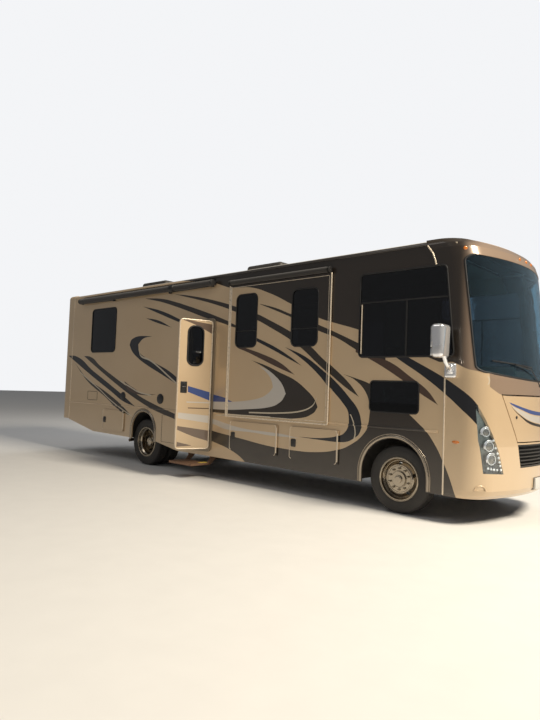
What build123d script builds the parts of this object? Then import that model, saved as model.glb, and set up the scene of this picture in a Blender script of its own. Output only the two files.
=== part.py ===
from build123d import *
import math
import os

os.makedirs("parts", exist_ok=True)

# Millimetres. While the pieces are made, x runs forward from the front axle, y to the left from the
# centreline and z up from the ground; save() then moves the origin below the middle of the whole box.
RIGHT = -1
LEFT = 1
SIDES = ((RIGHT, "right"), (LEFT, "left"))

# Overall body
WHEELBASE = 5791
BODY_WIDTH = 2565
SIDE_Y = BODY_WIDTH / 2
NOSE_X = 1455
REAR_OVERHANG = 3359
REAR_FACE_X = -WHEELBASE - REAR_OVERHANG
ROOF_EDGE_Z = 3665
ROOF_CROWN = 25
ROOF_THICKNESS = 85
WALL_THICKNESS = 45
WALL_LOW_Z = 1110
FLOOR_TOP_Z = 1130
FLOOR_THICKNESS = 70
SKIRT_THICKNESS = 22
PANE_THICKNESS = 8
MOVING_GAP = 6

# Wheels and tyres
TYRE_RADIUS = 460
TYRE_WIDTH = 245
TYRE_INSET = 80
RIM_RADIUS = 298
SEAT_RADIUS = 284
RIM_WIDTH = 232
DUAL_SPACING = 285
WHEEL_Z = TYRE_RADIUS
OUTER_TYRE_Y = SIDE_Y - TYRE_INSET - TYRE_WIDTH / 2
INNER_TYRE_Y = OUTER_TYRE_Y - DUAL_SPACING

# Steering
KINGPIN_Y = 930
KINGPIN_RADIUS = 22
STEER_ARM = 170
TIE_ROD_Z = 350

# Chassis frame
RAIL_Y = 430
RAIL_DEPTH = 230
RAIL_FLANGE = 76
RAIL_WEB = 8
RAIL_TOP_Z = FLOOR_TOP_Z - FLOOR_THICKNESS - 60
RAIL_FRONT_X = 1150
RAIL_REAR_X = REAR_FACE_X + 150
SPRING_Y = 392
SPRING_WIDTH = 76

# Front cap: the joint with the walls, seen from the side, and the level sections of the nose
CAP_THICKNESS = 25
CAP_LOW_Z = 345
CAP_TOP_Z = ROOF_EDGE_Z + ROOF_CROWN
JOINT_X = 682
CORNER_RADIUS = 350
CROWN_RADIUS = 2900
WINDSHIELD_LOW_Z = 1935
WINDSHIELD_DIP = 85
WINDSHIELD_TOP_Z = 3435

# Rear cap
REAR_JOINT_X = REAR_FACE_X + 350
REAR_CAP_LOW_Z = 760
REAR_CORNER_RADIUS = 140
REAR_CAP_THICKNESS = 30

# Entry door, hinged at its front edge and standing open
DOOR_WIDTH = 640
DOOR_THICKNESS = 38
DOOR_LOW_Z = 510
DOOR_TOP_Z = 2815
DOOR_HINGE_X = -3775
DOOR_OPEN_DEG = 70
DOOR_FRAME_WIDTH = 42
DOOR_FRAME_PROUD = 25

# Mirrors
MIRROR_REACH = 400

# Slide-out rooms: edges of the opening in the wall
SLIDE_LOW_Z = 1162
SLIDE_TOP_Z = 3370
SLIDE_WALL = 35
SLIDE_FLANGE = 40
SLIDE_FLANGE_THICKNESS = 22
SLIDE_ROOMS = (
    # side, name, front x, rear x, depth inwards
    (RIGHT, "right", -1190, -3320, 600),
    (LEFT, "left", -1350, -WHEELBASE + 441, 700),
)

# Storage compartments. Each door covers an opening in the skirt and hinges at its front edge.
BAY_TOP_Z = 1050
BAY_DEPTH = 620
BAY_WALL = 12
DOOR_LAP = 18
BAY_DOOR_THICKNESS = 20
HINGE_ROD_RADIUS = 4
HINGE_BARREL_RADIUS = 8
BAY_DOORS = (
    # name, front x, rear x, low z
    ("front", -960, -1880, 548),
    ("middle", -2160, -3240, 556),
    ("rear", -WHEELBASE - 709, -WHEELBASE - 1499, 610),
)
BAY_LINERS = (
    # front x, rear x, low z
    (-940, -3260, 530),
    (-WHEELBASE - 689, -WHEELBASE - 1519, 595),
)

# Windows in the side walls
SIDE_WINDOWS = (
    # name, side, front x, rear x, low z, top z, corner radius
    ("lower", RIGHT, 320, -440, 1360, 1790, 60),
    ("bedroom", RIGHT, -WHEELBASE - 1179, -WHEELBASE - 2169, 2310, 3290, 90),
    ("bedroom", LEFT, -WHEELBASE - 1179, -WHEELBASE - 2169, 2310, 3290, 90),
    ("galley", LEFT, -WHEELBASE + 41, -WHEELBASE - 559, 2500, 3200, 90),
)
SLIDE_WINDOWS = (
    # side, front x, rear x, low z, top z, corner radius
    (RIGHT, -2680, -3180, 2315, 3230, 100),
    (RIGHT, -1385, -1915, 2305, 3210, 100),
    (LEFT, -1700, -2700, 2100, 3000, 100),
    (LEFT, -WHEELBASE + 1891, -WHEELBASE + 891, 2300, 3000, 100),
)

ORIGIN_X = (NOSE_X + REAR_FACE_X) / 2
DOOR_REACH = MOVING_GAP + DOOR_THICKNESS + DOOR_WIDTH * math.sin(math.radians(DOOR_OPEN_DEG))
ORIGIN_Y = (MIRROR_REACH - DOOR_REACH) / 2


def save(piece, label):
    """Move a finished piece to the shared origin and write it under its name."""
    placed = Pos(-ORIGIN_X, -ORIGIN_Y, 0) * piece
    placed.label = label
    export_step(placed, f"parts/{label}.step")


def box_between(x_low, x_high, y_low, y_high, z_low, z_high):
    """A plain block between two corners."""
    with BuildPart() as block:
        with BuildSketch(Plane.XY.offset(z_low)):
            with Locations(((x_low + x_high) / 2, (y_low + y_high) / 2)):
                Rectangle(x_high - x_low, y_high - y_low)
        extrude(amount=z_high - z_low)
    return block.part


def panel(x_low, x_high, z_low, z_high, radius=0):
    """A flat outline seen from the side, with rounded corners where a radius is given."""
    with BuildSketch() as outline:
        with Locations(((x_low + x_high) / 2, (z_low + z_high) / 2)):
            if radius:
                RectangleRounded(x_high - x_low, z_high - z_low, radius)
            else:
                Rectangle(x_high - x_low, z_high - z_low)
    return outline.sketch


def polygon(*points):
    """A flat outline through the given corners."""
    with BuildSketch() as outline:
        with BuildLine():
            Polyline(*points, close=True)
        make_face()
    return outline.sketch


def slab(side, outer_y, thickness, outline, cuts=()):
    """A sheet standing along one side, from outer_y inwards, less the cut outlines."""
    with BuildPart() as sheet:
        with BuildSketch(Plane.XZ.offset(-side * outer_y)):
            add(outline)
            for cut in cuts:
                add(cut, mode=Mode.SUBTRACT)
        extrude(amount=side * thickness)
    return sheet.part


def across(outline, reach=1500):
    """An outline seen from the side, extruded over the whole width."""
    with BuildPart() as block:
        with BuildSketch(Plane.XZ):
            add(outline)
        extrude(amount=reach, both=True)
    return block.part


def forward(outline, x_low, x_high):
    """An outline seen from the front, as (y, z), extruded forwards."""
    with BuildPart() as block:
        with BuildSketch(Plane.YZ.offset(x_low)):
            add(outline)
        extrude(amount=x_high - x_low)
    return block.part


def turned(x, y, outward, outline):
    """An outline of (outward, radius) points turned about a wheel's axle."""
    with BuildPart() as ring:
        with BuildSketch(Plane.YZ.offset(x)):
            with BuildLine():
                Polyline([(y + outward * u, WHEEL_Z + r) for u, r in outline], close=True)
            make_face()
        revolve(axis=Axis((x, y, WHEEL_Z), (0, 1, 0)))
    return ring.part


# Tyres: a closed ring with a rounded shoulder, resting on the seats of its rim
BEAD_HALF = 103
SHOULDER_RADIUS = TYRE_RADIUS - 12
TREAD_HALF = 84


def tyre(x, y):
    half = TYRE_WIDTH / 2
    right_half = [
        (BEAD_HALF, SEAT_RADIUS),
        (half, SEAT_RADIUS + 66),
        (half, SHOULDER_RADIUS - 45),
        (half - 18, SHOULDER_RADIUS),
        (TREAD_HALF, TYRE_RADIUS),
    ]
    return turned(x, y, 1, right_half + [(-u, r) for u, r in reversed(right_half)])


# Wheels: a drop-centre rim with a dished disc, five hand holes and a hub
RIM_WALL = 8
WELL_DROP = 24
HAND_HOLES = 5
HAND_HOLE_RADIUS = 26
HAND_HOLE_CIRCLE = 214
DISC_EDGE_RADIUS = SEAT_RADIUS - WELL_DROP - RIM_WALL / 2
FRONT_DISC_OUT = 96
FRONT_DISH = 60
REAR_DISH = 105
HUB_RADIUS = 100


def rim(x, y):
    half = RIM_WIDTH / 2
    outer = [
        (half, RIM_RADIUS),
        (half - RIM_WALL, RIM_RADIUS),
        (half - RIM_WALL, SEAT_RADIUS),
        (half - 52, SEAT_RADIUS - 2),
        (half - 74, SEAT_RADIUS - WELL_DROP),
    ]
    inner = [
        (half - 74, SEAT_RADIUS - WELL_DROP - RIM_WALL),
        (half - 52, SEAT_RADIUS - 2 - RIM_WALL),
        (half, SEAT_RADIUS - RIM_WALL),
    ]
    across_top = outer + [(-u, r) for u, r in reversed(outer)]
    across_bottom = [(-u, r) for u, r in reversed(inner)] + inner
    return turned(x, y, 1, across_top + across_bottom)


def disc(x, y, outward, face, edge):
    """The dished disc: its hub face lies face mm outward, its edge meets the rim at edge mm."""
    lean = math.copysign(12, face - edge)
    outline = [
        (edge, DISC_EDGE_RADIUS),
        (face, DISC_EDGE_RADIUS - 62),
        (face, 30),
        (face - lean, 30),
        (face - lean, DISC_EDGE_RADIUS - 56),
        (edge - 1.6 * lean, DISC_EDGE_RADIUS),
    ]
    dish = turned(x, y, outward, outline)
    with BuildPart() as holes:
        with BuildSketch(Plane.XZ.offset(-y)):
            with Locations((x, WHEEL_Z)):
                with PolarLocations(HAND_HOLE_CIRCLE, HAND_HOLES, start_angle=90):
                    Circle(HAND_HOLE_RADIUS)
        extrude(amount=DUAL_SPACING, both=True)
    return dish - holes.part


def stub(x, y, outward, start, end, radius):
    """A round boss on the axle line between two distances outward."""
    return turned(x, y, outward, [(start, 0), (start, radius), (end, radius), (end, 0)])


DRUM_RADIUS = 180
FRONT_DRUM = (-62, 40)
REAR_DRUM = (-110, 60)


def front_wheel(side):
    y = side * OUTER_TYRE_Y
    with BuildPart() as wheel:
        add(rim(0, y))
        add(disc(0, y, side, FRONT_DISC_OUT, FRONT_DISC_OUT - FRONT_DISH))
        add(turned(0, y, side, [
            (FRONT_DRUM[0], 60), (FRONT_DRUM[0], DRUM_RADIUS), (FRONT_DRUM[1], DRUM_RADIUS),
            (FRONT_DISC_OUT - 12, 110), (FRONT_DISC_OUT - 12, 60),
        ]))
        add(stub(0, y, side, FRONT_DRUM[1], FRONT_DISC_OUT + 22, HUB_RADIUS))
        add(stub(0, y, side, FRONT_DISC_OUT + 22, FRONT_DISC_OUT + 46, 52))
    return wheel.part


def rear_wheels(side):
    x = -WHEELBASE
    middle = DUAL_SPACING / 2
    outer_y = side * OUTER_TYRE_Y
    inner_y = side * INNER_TYRE_Y
    with BuildPart() as wheels:
        add(rim(x, outer_y))
        add(rim(x, inner_y))
        add(disc(x, outer_y, side, -middle, -middle + REAR_DISH))
        add(disc(x, inner_y, side, middle, middle - REAR_DISH))
        add(turned(x, inner_y, side, [
            (REAR_DRUM[0], 90), (REAR_DRUM[0], DRUM_RADIUS), (REAR_DRUM[1], DRUM_RADIUS),
            (middle - 6, 110), (middle - 6, 90),
        ]))
        add(stub(x, outer_y, side, -middle, 10, HUB_RADIUS))
        add(stub(x, outer_y, side, 10, 34, 62))
    return wheels.part


for side, word in SIDES:
    save(tyre(0, side * OUTER_TYRE_Y), f"front_tyre_{word}")
    save(front_wheel(side), f"front_wheel_{word}")
    duals = Compound([tyre(-WHEELBASE, side * OUTER_TYRE_Y), tyre(-WHEELBASE, side * INNER_TYRE_Y)])
    save(duals, f"rear_tyres_{word}")
    save(rear_wheels(side), f"rear_wheels_{word}")


# Front axle: a dropped I-beam with an upright eye for each kingpin
BEAM_HALF_X = 38
BEAM_LOW_Z = 365
BEAM_TOP_Z = 455
EYE_HALF = 55
EYE_RADIUS = 46
PIN_PLAY = 0.4

with BuildPart() as front_axle:
    with BuildSketch(Plane.YZ.offset(-BEAM_HALF_X)):
        with BuildLine():
            Polyline(
                (-KINGPIN_Y, WHEEL_Z - EYE_HALF), (-KINGPIN_Y + 85, WHEEL_Z - EYE_HALF),
                (-KINGPIN_Y + 190, BEAM_LOW_Z), (KINGPIN_Y - 190, BEAM_LOW_Z),
                (KINGPIN_Y - 85, WHEEL_Z - EYE_HALF), (KINGPIN_Y, WHEEL_Z - EYE_HALF),
                (KINGPIN_Y, WHEEL_Z + EYE_HALF), (KINGPIN_Y - 150, BEAM_TOP_Z),
                (-KINGPIN_Y + 150, BEAM_TOP_Z), (-KINGPIN_Y, WHEEL_Z + EYE_HALF), close=True,
            )
        make_face()
    extrude(amount=2 * BEAM_HALF_X)
    for face_x, inward in ((-BEAM_HALF_X, 1), (BEAM_HALF_X, -1)):
        with BuildSketch(Plane.YZ.offset(face_x)):
            with Locations((0, (BEAM_LOW_Z + BEAM_TOP_Z) / 2)):
                RectangleRounded(2 * KINGPIN_Y - 420, BEAM_TOP_Z - BEAM_LOW_Z - 40, 20)
        extrude(amount=inward * (BEAM_HALF_X - 8), mode=Mode.SUBTRACT)
    for side, word in SIDES:
        with BuildSketch(Plane.XY.offset(WHEEL_Z - EYE_HALF)):
            with Locations((0, side * KINGPIN_Y)):
                Circle(EYE_RADIUS)
        extrude(amount=2 * EYE_HALF)
        with BuildSketch(Plane.XY.offset(WHEEL_Z - EYE_HALF)):
            with Locations((0, side * KINGPIN_Y)):
                Circle(KINGPIN_RADIUS + PIN_PLAY)
        extrude(amount=2 * EYE_HALF, mode=Mode.SUBTRACT)
        with BuildSketch(Plane.XY.offset(BEAM_TOP_Z)):
            with Locations((0, side * SPRING_Y)):
                Rectangle(150, SPRING_WIDTH + 20)
        extrude(amount=20)
save(front_axle.part, "front_axle")


# Knuckles: a fork round the axle's eye with its kingpin, a spindle outwards and an arm back to the tie rod
FORK_GAP = 2
FORK_THICKNESS = 30
FORK_RADIUS = 50
SPINDLE_RADIUS = 55
ARM_WIDTH = 44
ARM_THICKNESS = 30
ARM_PIN_RADIUS = 11


def knuckle(side):
    y = side * KINGPIN_Y
    fork_low = WHEEL_Z - EYE_HALF - FORK_GAP - FORK_THICKNESS
    fork_top = WHEEL_Z + EYE_HALF + FORK_GAP + FORK_THICKNESS
    web_in = EYE_RADIUS + FORK_GAP + 2
    web_out = web_in + 30
    spindle_start = KINGPIN_Y + web_in
    spindle_end = OUTER_TYRE_Y + FRONT_DRUM[1] - 6
    with BuildPart() as fork:
        for low in (fork_low, fork_top - FORK_THICKNESS):
            with BuildSketch(Plane.XY.offset(low)):
                with Locations((0, y)):
                    Circle(FORK_RADIUS)
                with Locations((0, y + side * web_out / 2)):
                    Rectangle(2 * FORK_RADIUS, web_out)
            extrude(amount=FORK_THICKNESS)
        add(box_between(-FORK_RADIUS, FORK_RADIUS, *sorted((y + side * web_in, y + side * web_out)),
                        fork_low, fork_top))
        with BuildSketch(Plane.XY.offset(fork_low)):
            with Locations((0, y)):
                Circle(KINGPIN_RADIUS)
        extrude(amount=fork_top - fork_low)
        add(turned(0, 0, side, [
            (spindle_start, 0), (spindle_start, SPINDLE_RADIUS), (spindle_end, SPINDLE_RADIUS - 15),
            (spindle_end, 0),
        ]))
        with BuildSketch(Plane.XY.offset(fork_low)):
            with Locations((-STEER_ARM / 2, y)):
                Rectangle(STEER_ARM, ARM_WIDTH)
            with Locations((-STEER_ARM, y)):
                Circle(ARM_WIDTH / 2)
        extrude(amount=ARM_THICKNESS)
        with BuildSketch(Plane.XY.offset(TIE_ROD_Z - 18)):
            with Locations((-STEER_ARM, y)):
                Circle(ARM_PIN_RADIUS)
        extrude(amount=fork_low - TIE_ROD_Z + 18)
    return fork.part


for side, word in SIDES:
    save(knuckle(side), f"knuckle_{word}")

# Tie rod: a tube between two eyes that turn on the arms' pins
ROD_EYE_RADIUS = 25
ROD_EYE_HALF = 15
ROD_RADIUS = 17

with BuildPart() as tie_rod:
    with BuildSketch(Plane.XZ.offset(KINGPIN_Y - ROD_EYE_RADIUS + 4)):
        with Locations((-STEER_ARM, TIE_ROD_Z)):
            Circle(ROD_RADIUS)
    extrude(amount=-2 * (KINGPIN_Y - ROD_EYE_RADIUS + 4))
    for side, word in SIDES:
        with BuildSketch(Plane.XY.offset(TIE_ROD_Z - ROD_EYE_HALF)):
            with Locations((-STEER_ARM, side * KINGPIN_Y)):
                Circle(ROD_EYE_RADIUS)
        extrude(amount=2 * ROD_EYE_HALF)
    for side, word in SIDES:
        with BuildSketch(Plane.XY.offset(TIE_ROD_Z - ROD_EYE_HALF)):
            with Locations((-STEER_ARM, side * KINGPIN_Y)):
                Circle(ARM_PIN_RADIUS + PIN_PLAY)
        extrude(amount=2 * ROD_EYE_HALF, mode=Mode.SUBTRACT)
save(tie_rod.part, "tie_rod")


# Rear axle: a tube with a round differential housing at its middle
AXLE_TUBE_RADIUS = 62
AXLE_TUBE_END = INNER_TYRE_Y + REAR_DRUM[1] + 50
DIFFERENTIAL_RADIUS = 200

with BuildPart() as rear_axle:
    with BuildSketch(Plane.XZ.offset(-AXLE_TUBE_END)):
        with Locations((-WHEELBASE, WHEEL_Z)):
            Circle(AXLE_TUBE_RADIUS)
    extrude(amount=2 * AXLE_TUBE_END)
    with BuildSketch(Plane.YZ.offset(-WHEELBASE - 130)):
        with Locations((0, WHEEL_Z)):
            Circle(DIFFERENTIAL_RADIUS)
    extrude(amount=240, taper=18)
    with BuildSketch(Plane.YZ.offset(-WHEELBASE)):
        with Locations((0, WHEEL_Z)):
            Circle(80)
    extrude(amount=300, taper=8)
    for side, word in SIDES:
        add(box_between(-WHEELBASE - 75, -WHEELBASE + 75, side * SPRING_Y - 48, side * SPRING_Y + 48,
                        WHEEL_Z + 20, WHEEL_Z + AXLE_TUBE_RADIUS + 20))
save(rear_axle.part, "rear_axle")


# Leaf springs: a pack of three curved leaves on each side of each axle, the longest one ending at its eyes
LEAF_THICKNESS = 16
SPRING_SAG = 95
SPRINGS = (
    # axle x, top of the spring seat, half length
    (0, BEAM_TOP_Z + 20, 620),
    (-WHEELBASE, WHEEL_Z + AXLE_TUBE_RADIUS + 20, 700),
)


def leaf_pack(x, y, seat_z, half_length):
    radius = (half_length ** 2 + SPRING_SAG ** 2) / (2 * SPRING_SAG)
    with BuildPart() as pack:
        with BuildSketch(Plane.XZ.offset(-y - SPRING_WIDTH / 2)):
            for level, share in enumerate((0.45, 0.75, 1.0)):
                reach = math.asin(share * half_length / radius)
                low = radius - level * LEAF_THICKNESS
                top = low - LEAF_THICKNESS
                ends = [(x + r * math.sin(a), seat_z + radius - r * math.cos(a))
                        for r, a in ((low, -reach), (low, 0), (low, reach), (top, reach), (top, 0), (top, -reach))]
                with BuildLine():
                    ThreePointArc(ends[0], ends[1], ends[2])
                    Line(ends[2], ends[3])
                    ThreePointArc(ends[3], ends[4], ends[5])
                    Line(ends[5], ends[0])
                make_face()
        extrude(amount=SPRING_WIDTH)
    return pack.part


save(Compound([leaf_pack(x, side * SPRING_Y, seat_z, half_length)
               for x, seat_z, half_length in SPRINGS for side, word in SIDES]), "leaf_springs")


# Chassis frame: two channel rails with cross members, and hangers down to the springs' ends
RAIL_LOW_Z = RAIL_TOP_Z - RAIL_DEPTH
CROSS_SPACING = 980
CROSS_DEPTH = 120
HANGER_HALF_X = 30


def rail(side):
    with BuildPart() as channel:
        with BuildSketch(Plane.YZ.offset(RAIL_REAR_X)):
            with Locations((side * (RAIL_Y - RAIL_FLANGE / 2), RAIL_TOP_Z - RAIL_DEPTH / 2)):
                Rectangle(RAIL_FLANGE, RAIL_DEPTH)
            with Locations((side * (RAIL_Y - RAIL_FLANGE / 2 - RAIL_WEB), RAIL_TOP_Z - RAIL_DEPTH / 2)):
                Rectangle(RAIL_FLANGE, RAIL_DEPTH - 2 * RAIL_WEB, mode=Mode.SUBTRACT)
        extrude(amount=RAIL_FRONT_X - RAIL_REAR_X)
        for x, seat_z, half_length in SPRINGS:
            eye_z = seat_z + SPRING_SAG + 3 * LEAF_THICKNESS + 0.5
            for end in (-1, 1):
                add(box_between(x + end * half_length - HANGER_HALF_X, x + end * half_length + HANGER_HALF_X,
                                side * SPRING_Y - 34, side * SPRING_Y + 34, eye_z, RAIL_LOW_Z))
    return channel.part


cross_count = int((RAIL_FRONT_X - RAIL_REAR_X) / CROSS_SPACING) + 1
cross_places = [RAIL_FRONT_X - 60 - i * (RAIL_FRONT_X - RAIL_REAR_X - 120) / (cross_count - 1)
                for i in range(cross_count)]
cross_half = RAIL_Y - RAIL_FLANGE - 0.5
cross_members = [box_between(x - 30, x + 30, -cross_half, cross_half, RAIL_TOP_Z - CROSS_DEPTH, RAIL_TOP_Z)
                 for x in cross_places if not -1250 < x < 900]
save(Compound([rail(side) for side, word in SIDES] + cross_members), "chassis_frame")


# Engine, gearbox and driveshaft: one plain block between the rails, and the shaft to the differential
ENGINE_FRONT_X = 700
ENGINE_REAR_X = -260
ENGINE_TOP_Z = 1290
ENGINE_LOW_Z = 560
ENGINE_HALF = 300
GEARBOX_REAR_X = -1150

SHAFT_RADIUS = 45
SHAFT_START = Vector(GEARBOX_REAR_X - 5, 0, ENGINE_LOW_Z + 170)
SHAFT_END = Vector(-WHEELBASE + 305, 0, WHEEL_Z)

with BuildPart() as engine:
    add(box_between(ENGINE_REAR_X, ENGINE_FRONT_X, -ENGINE_HALF, ENGINE_HALF, ENGINE_LOW_Z, ENGINE_TOP_Z))
    add(box_between(GEARBOX_REAR_X, ENGINE_REAR_X, -170, 170, ENGINE_LOW_Z, ENGINE_LOW_Z + 340))

with BuildPart() as driveshaft:
    with BuildSketch(Plane(origin=SHAFT_START, z_dir=SHAFT_END - SHAFT_START)):
        Circle(SHAFT_RADIUS)
    extrude(amount=(SHAFT_END - SHAFT_START).length)
save(Compound([engine.part, driveshaft.part]), "driveline")

# Fuel tank behind the rear axle, between the rails
TANK_LOW_Z = 470
TANK_TOP_Z = 745
TANK_FRONT_X = -WHEELBASE - 829
TANK_REAR_X = TANK_FRONT_X - 1000

with BuildPart() as fuel_tank:
    add(box_between(TANK_REAR_X, TANK_FRONT_X, -340, 340, TANK_LOW_Z, TANK_TOP_Z))
    fillet(fuel_tank.edges().filter_by(Axis.Y), 45)
save(fuel_tank.part, "fuel_tank")

# Exhaust: a silencer beside the driveshaft, and a pipe over the axle and out behind the right rear tyres
PIPE_RADIUS = 32
SILENCER_RADIUS = 95
EXHAUST_Y = -215
EXHAUST_Z = 600

with BuildPart() as exhaust:
    with BuildSketch(Plane.YZ.offset(-WHEELBASE / 2)):
        with Locations((EXHAUST_Y, EXHAUST_Z)):
            Ellipse(SILENCER_RADIUS, SILENCER_RADIUS * 0.7)
    extrude(amount=900)
    with BuildLine() as pipe_run:
        FilletPolyline(
            (-1300, EXHAUST_Y, EXHAUST_Z), (-WHEELBASE + 441, EXHAUST_Y, EXHAUST_Z),
            (-WHEELBASE + 191, EXHAUST_Y, 700), (-WHEELBASE - 309, EXHAUST_Y, 700),
            (-WHEELBASE - 589, EXHAUST_Y - 120, 560), (-WHEELBASE - 609, 90 - SIDE_Y, 440), radius=90,
        )
    with BuildSketch(Plane(origin=pipe_run.line @ 0, z_dir=pipe_run.line % 0)):
        Circle(PIPE_RADIUS)
    sweep(path=pipe_run.line)
save(exhaust.part, "exhaust")


# Floor, with a hole over the engine and one for the stepwell, and the moulded cover over the engine
FLOOR_FRONT_X = 900
FLOOR_LOW_Z = FLOOR_TOP_Z - FLOOR_THICKNESS
FLOOR_HALF = SIDE_Y - WALL_THICKNESS
COVER_FRONT_X = 820
COVER_REAR_X = -340
COVER_HALF = 380
COVER_TOP_Z = 1370
COVER_WALL = 20
WELL_FRONT_X = DOOR_HINGE_X - 15
WELL_REAR_X = DOOR_HINGE_X - DOOR_WIDTH + 15
WELL_IN_Y = 700
WELL_LOW_Z = DOOR_LOW_Z + 25
WELL_WALL = 15

with BuildPart() as floor:
    add(box_between(REAR_FACE_X + REAR_CORNER_RADIUS, FLOOR_FRONT_X, -FLOOR_HALF, FLOOR_HALF,
                    FLOOR_LOW_Z, FLOOR_TOP_Z))
    with BuildSketch(Plane.XY.offset(FLOOR_LOW_Z)):
        with Locations(((COVER_FRONT_X + COVER_REAR_X) / 2, 0)):
            Rectangle(COVER_FRONT_X - COVER_REAR_X - 60, 2 * COVER_HALF - 60)
        with Locations(((WELL_FRONT_X + WELL_REAR_X) / 2, -(SIDE_Y + WELL_IN_Y) / 2)):
            Rectangle(WELL_FRONT_X - WELL_REAR_X, SIDE_Y - WELL_IN_Y)
    extrude(amount=FLOOR_THICKNESS, mode=Mode.SUBTRACT)
save(floor.part, "floor")

with BuildPart() as engine_cover:
    add(box_between(COVER_REAR_X, COVER_FRONT_X, -COVER_HALF, COVER_HALF, FLOOR_TOP_Z, COVER_TOP_Z))
    fillet(engine_cover.edges().group_by(Axis.Z)[-1], 50)
    add(box_between(COVER_REAR_X + COVER_WALL, COVER_FRONT_X - COVER_WALL, -COVER_HALF + COVER_WALL,
                    COVER_HALF - COVER_WALL, FLOOR_TOP_Z, COVER_TOP_Z - COVER_WALL), mode=Mode.SUBTRACT)
save(engine_cover.part, "engine_cover")

# Stepwell: a flight of treads in a pan below the floor, behind the entry door
TREADS = 3
STEP_RISE = (FLOOR_TOP_Z - WELL_LOW_Z) / TREADS
STEP_RUN = (SIDE_Y - SKIRT_THICKNESS - WELL_IN_Y - WELL_WALL) / TREADS
WELL_OUT_Y = -SIDE_Y + SKIRT_THICKNESS

stair_top = [(WELL_OUT_Y + (n + end) * STEP_RUN, WELL_LOW_Z + n * STEP_RISE) for n in range(TREADS) for end in (0, 1)]
stair_under = [(y + WELL_WALL, z - WELL_WALL) for y, z in reversed(stair_top[1:])]
stairs = polygon(*stair_top, (-WELL_IN_Y - WELL_WALL, FLOOR_TOP_Z), (-WELL_IN_Y, FLOOR_TOP_Z), *stair_under,
                 (WELL_OUT_Y, WELL_LOW_Z - WELL_WALL))
with BuildPart() as stepwell:
    add(forward(stairs, WELL_REAR_X, WELL_FRONT_X))
    for x in (WELL_REAR_X - WELL_WALL, WELL_FRONT_X):
        add(box_between(x, x + WELL_WALL, WELL_OUT_Y, -WELL_IN_Y, WELL_LOW_Z - WELL_WALL, FLOOR_LOW_Z))
save(stepwell.part, "stepwell")


# Outlines shared by the side panels
ARCHES = (
    # middle x, radius, middle z
    (-48, 492, 515),
    (-WHEELBASE - 24, 380, 685),
)


def ahead_of_joint():
    """All that lies ahead of the joint between the walls and the front cap, seen from the side."""
    return polygon((JOINT_X, 0), (JOINT_X, 1844), (524, 3347), (344, 3700), (344, 4200), (2500, 4200), (2500, 0))


def arch_outline(x, radius, z):
    return polygon((x - radius, 0), (x + radius, 0), (x + radius, z), (x - radius, z)) + \
        Pos(x, z) * Circle(radius, mode=Mode.PRIVATE)


def cab_window(inset=0):
    """The big window beside each front seat; its front edge leans with the windshield pillar."""
    with BuildSketch() as outline:
        with BuildLine():
            Polyline((-645 + inset, 2125 + inset), (-645 + inset, 3320 - inset), (678 - inset, 3320 - inset),
                     (800 - inset, 2125 + inset), close=True)
        make_face()
        fillet(outline.vertices(), 70)
    return outline.sketch


def window_outline(x_high, x_low, z_low, z_high, radius):
    return panel(x_low, x_high, z_low, z_high, radius)


# Side walls: laminated panels from the belt to the roof
WALL_TOP_Z = ROOF_EDGE_Z + ROOF_CROWN - ROOF_THICKNESS

doorway = panel(DOOR_HINGE_X - DOOR_WIDTH + 25, DOOR_HINGE_X - 25, DOOR_LOW_Z + 25, DOOR_TOP_Z - 25, 60)
slide_openings = {side: panel(rear, front, SLIDE_LOW_Z, SLIDE_TOP_Z) for side, word, front, rear, depth in SLIDE_ROOMS}

for side, word in SIDES:
    openings = [cab_window(), ahead_of_joint(), slide_openings[side]]
    openings += [window_outline(*sizes) for name, at, *sizes in SIDE_WINDOWS if at == side]
    if side == RIGHT:
        openings.append(doorway)
    wall = slab(side, SIDE_Y, WALL_THICKNESS, panel(REAR_JOINT_X, 760, WALL_LOW_Z, WALL_TOP_Z), openings)
    save(wall, f"wall_{word}")

# Skirts: thin panels below the belt, open at the arches, the compartments and the doorway
SKIRT_BOTTOM = (
    (760, 352), (-WHEELBASE + 1091, 390), (-WHEELBASE + 461, 500), (-WHEELBASE - 1909, 535), (REAR_JOINT_X, 745),
)

for side, word in SIDES:
    openings = [ahead_of_joint()]
    openings += [arch_outline(*arch) for arch in ARCHES]
    openings += [panel(rear + DOOR_LAP, front - DOOR_LAP, low + DOOR_LAP, BAY_TOP_Z - DOOR_LAP, 20)
                 for name, front, rear, low in BAY_DOORS]
    if side == RIGHT:
        openings.append(doorway)
    outline = polygon(*SKIRT_BOTTOM, (REAR_JOINT_X, WALL_LOW_Z), (760, WALL_LOW_Z))
    rod_y = SIDE_Y + MOVING_GAP + BAY_DOOR_THICKNESS / 2
    with BuildPart() as skirt:
        add(slab(side, SIDE_Y, SKIRT_THICKNESS, outline, openings))
        for name, front, rear, low in BAY_DOORS:
            for z_low, z_high in ((low + 6, low + 18), (BAY_TOP_Z - 18, BAY_TOP_Z - 6)):
                add(box_between(front + 2, front + 18, *sorted((side * SIDE_Y, side * (rod_y + 8))), z_low, z_high))
            with BuildSketch(Plane.XY.offset(low + 12)):
                with Locations((front + 10, side * rod_y)):
                    Circle(HINGE_ROD_RADIUS)
            extrude(amount=BAY_TOP_Z - low - 24)
    save(skirt.part, f"skirt_{word}")


# Compartment doors: leaves lying over the skirt, each with a long barrel on its rod and a round latch
BARREL_PLAY = 0.4
LATCH_RADIUS = 26
LATCH_PROUD = 10


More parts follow.
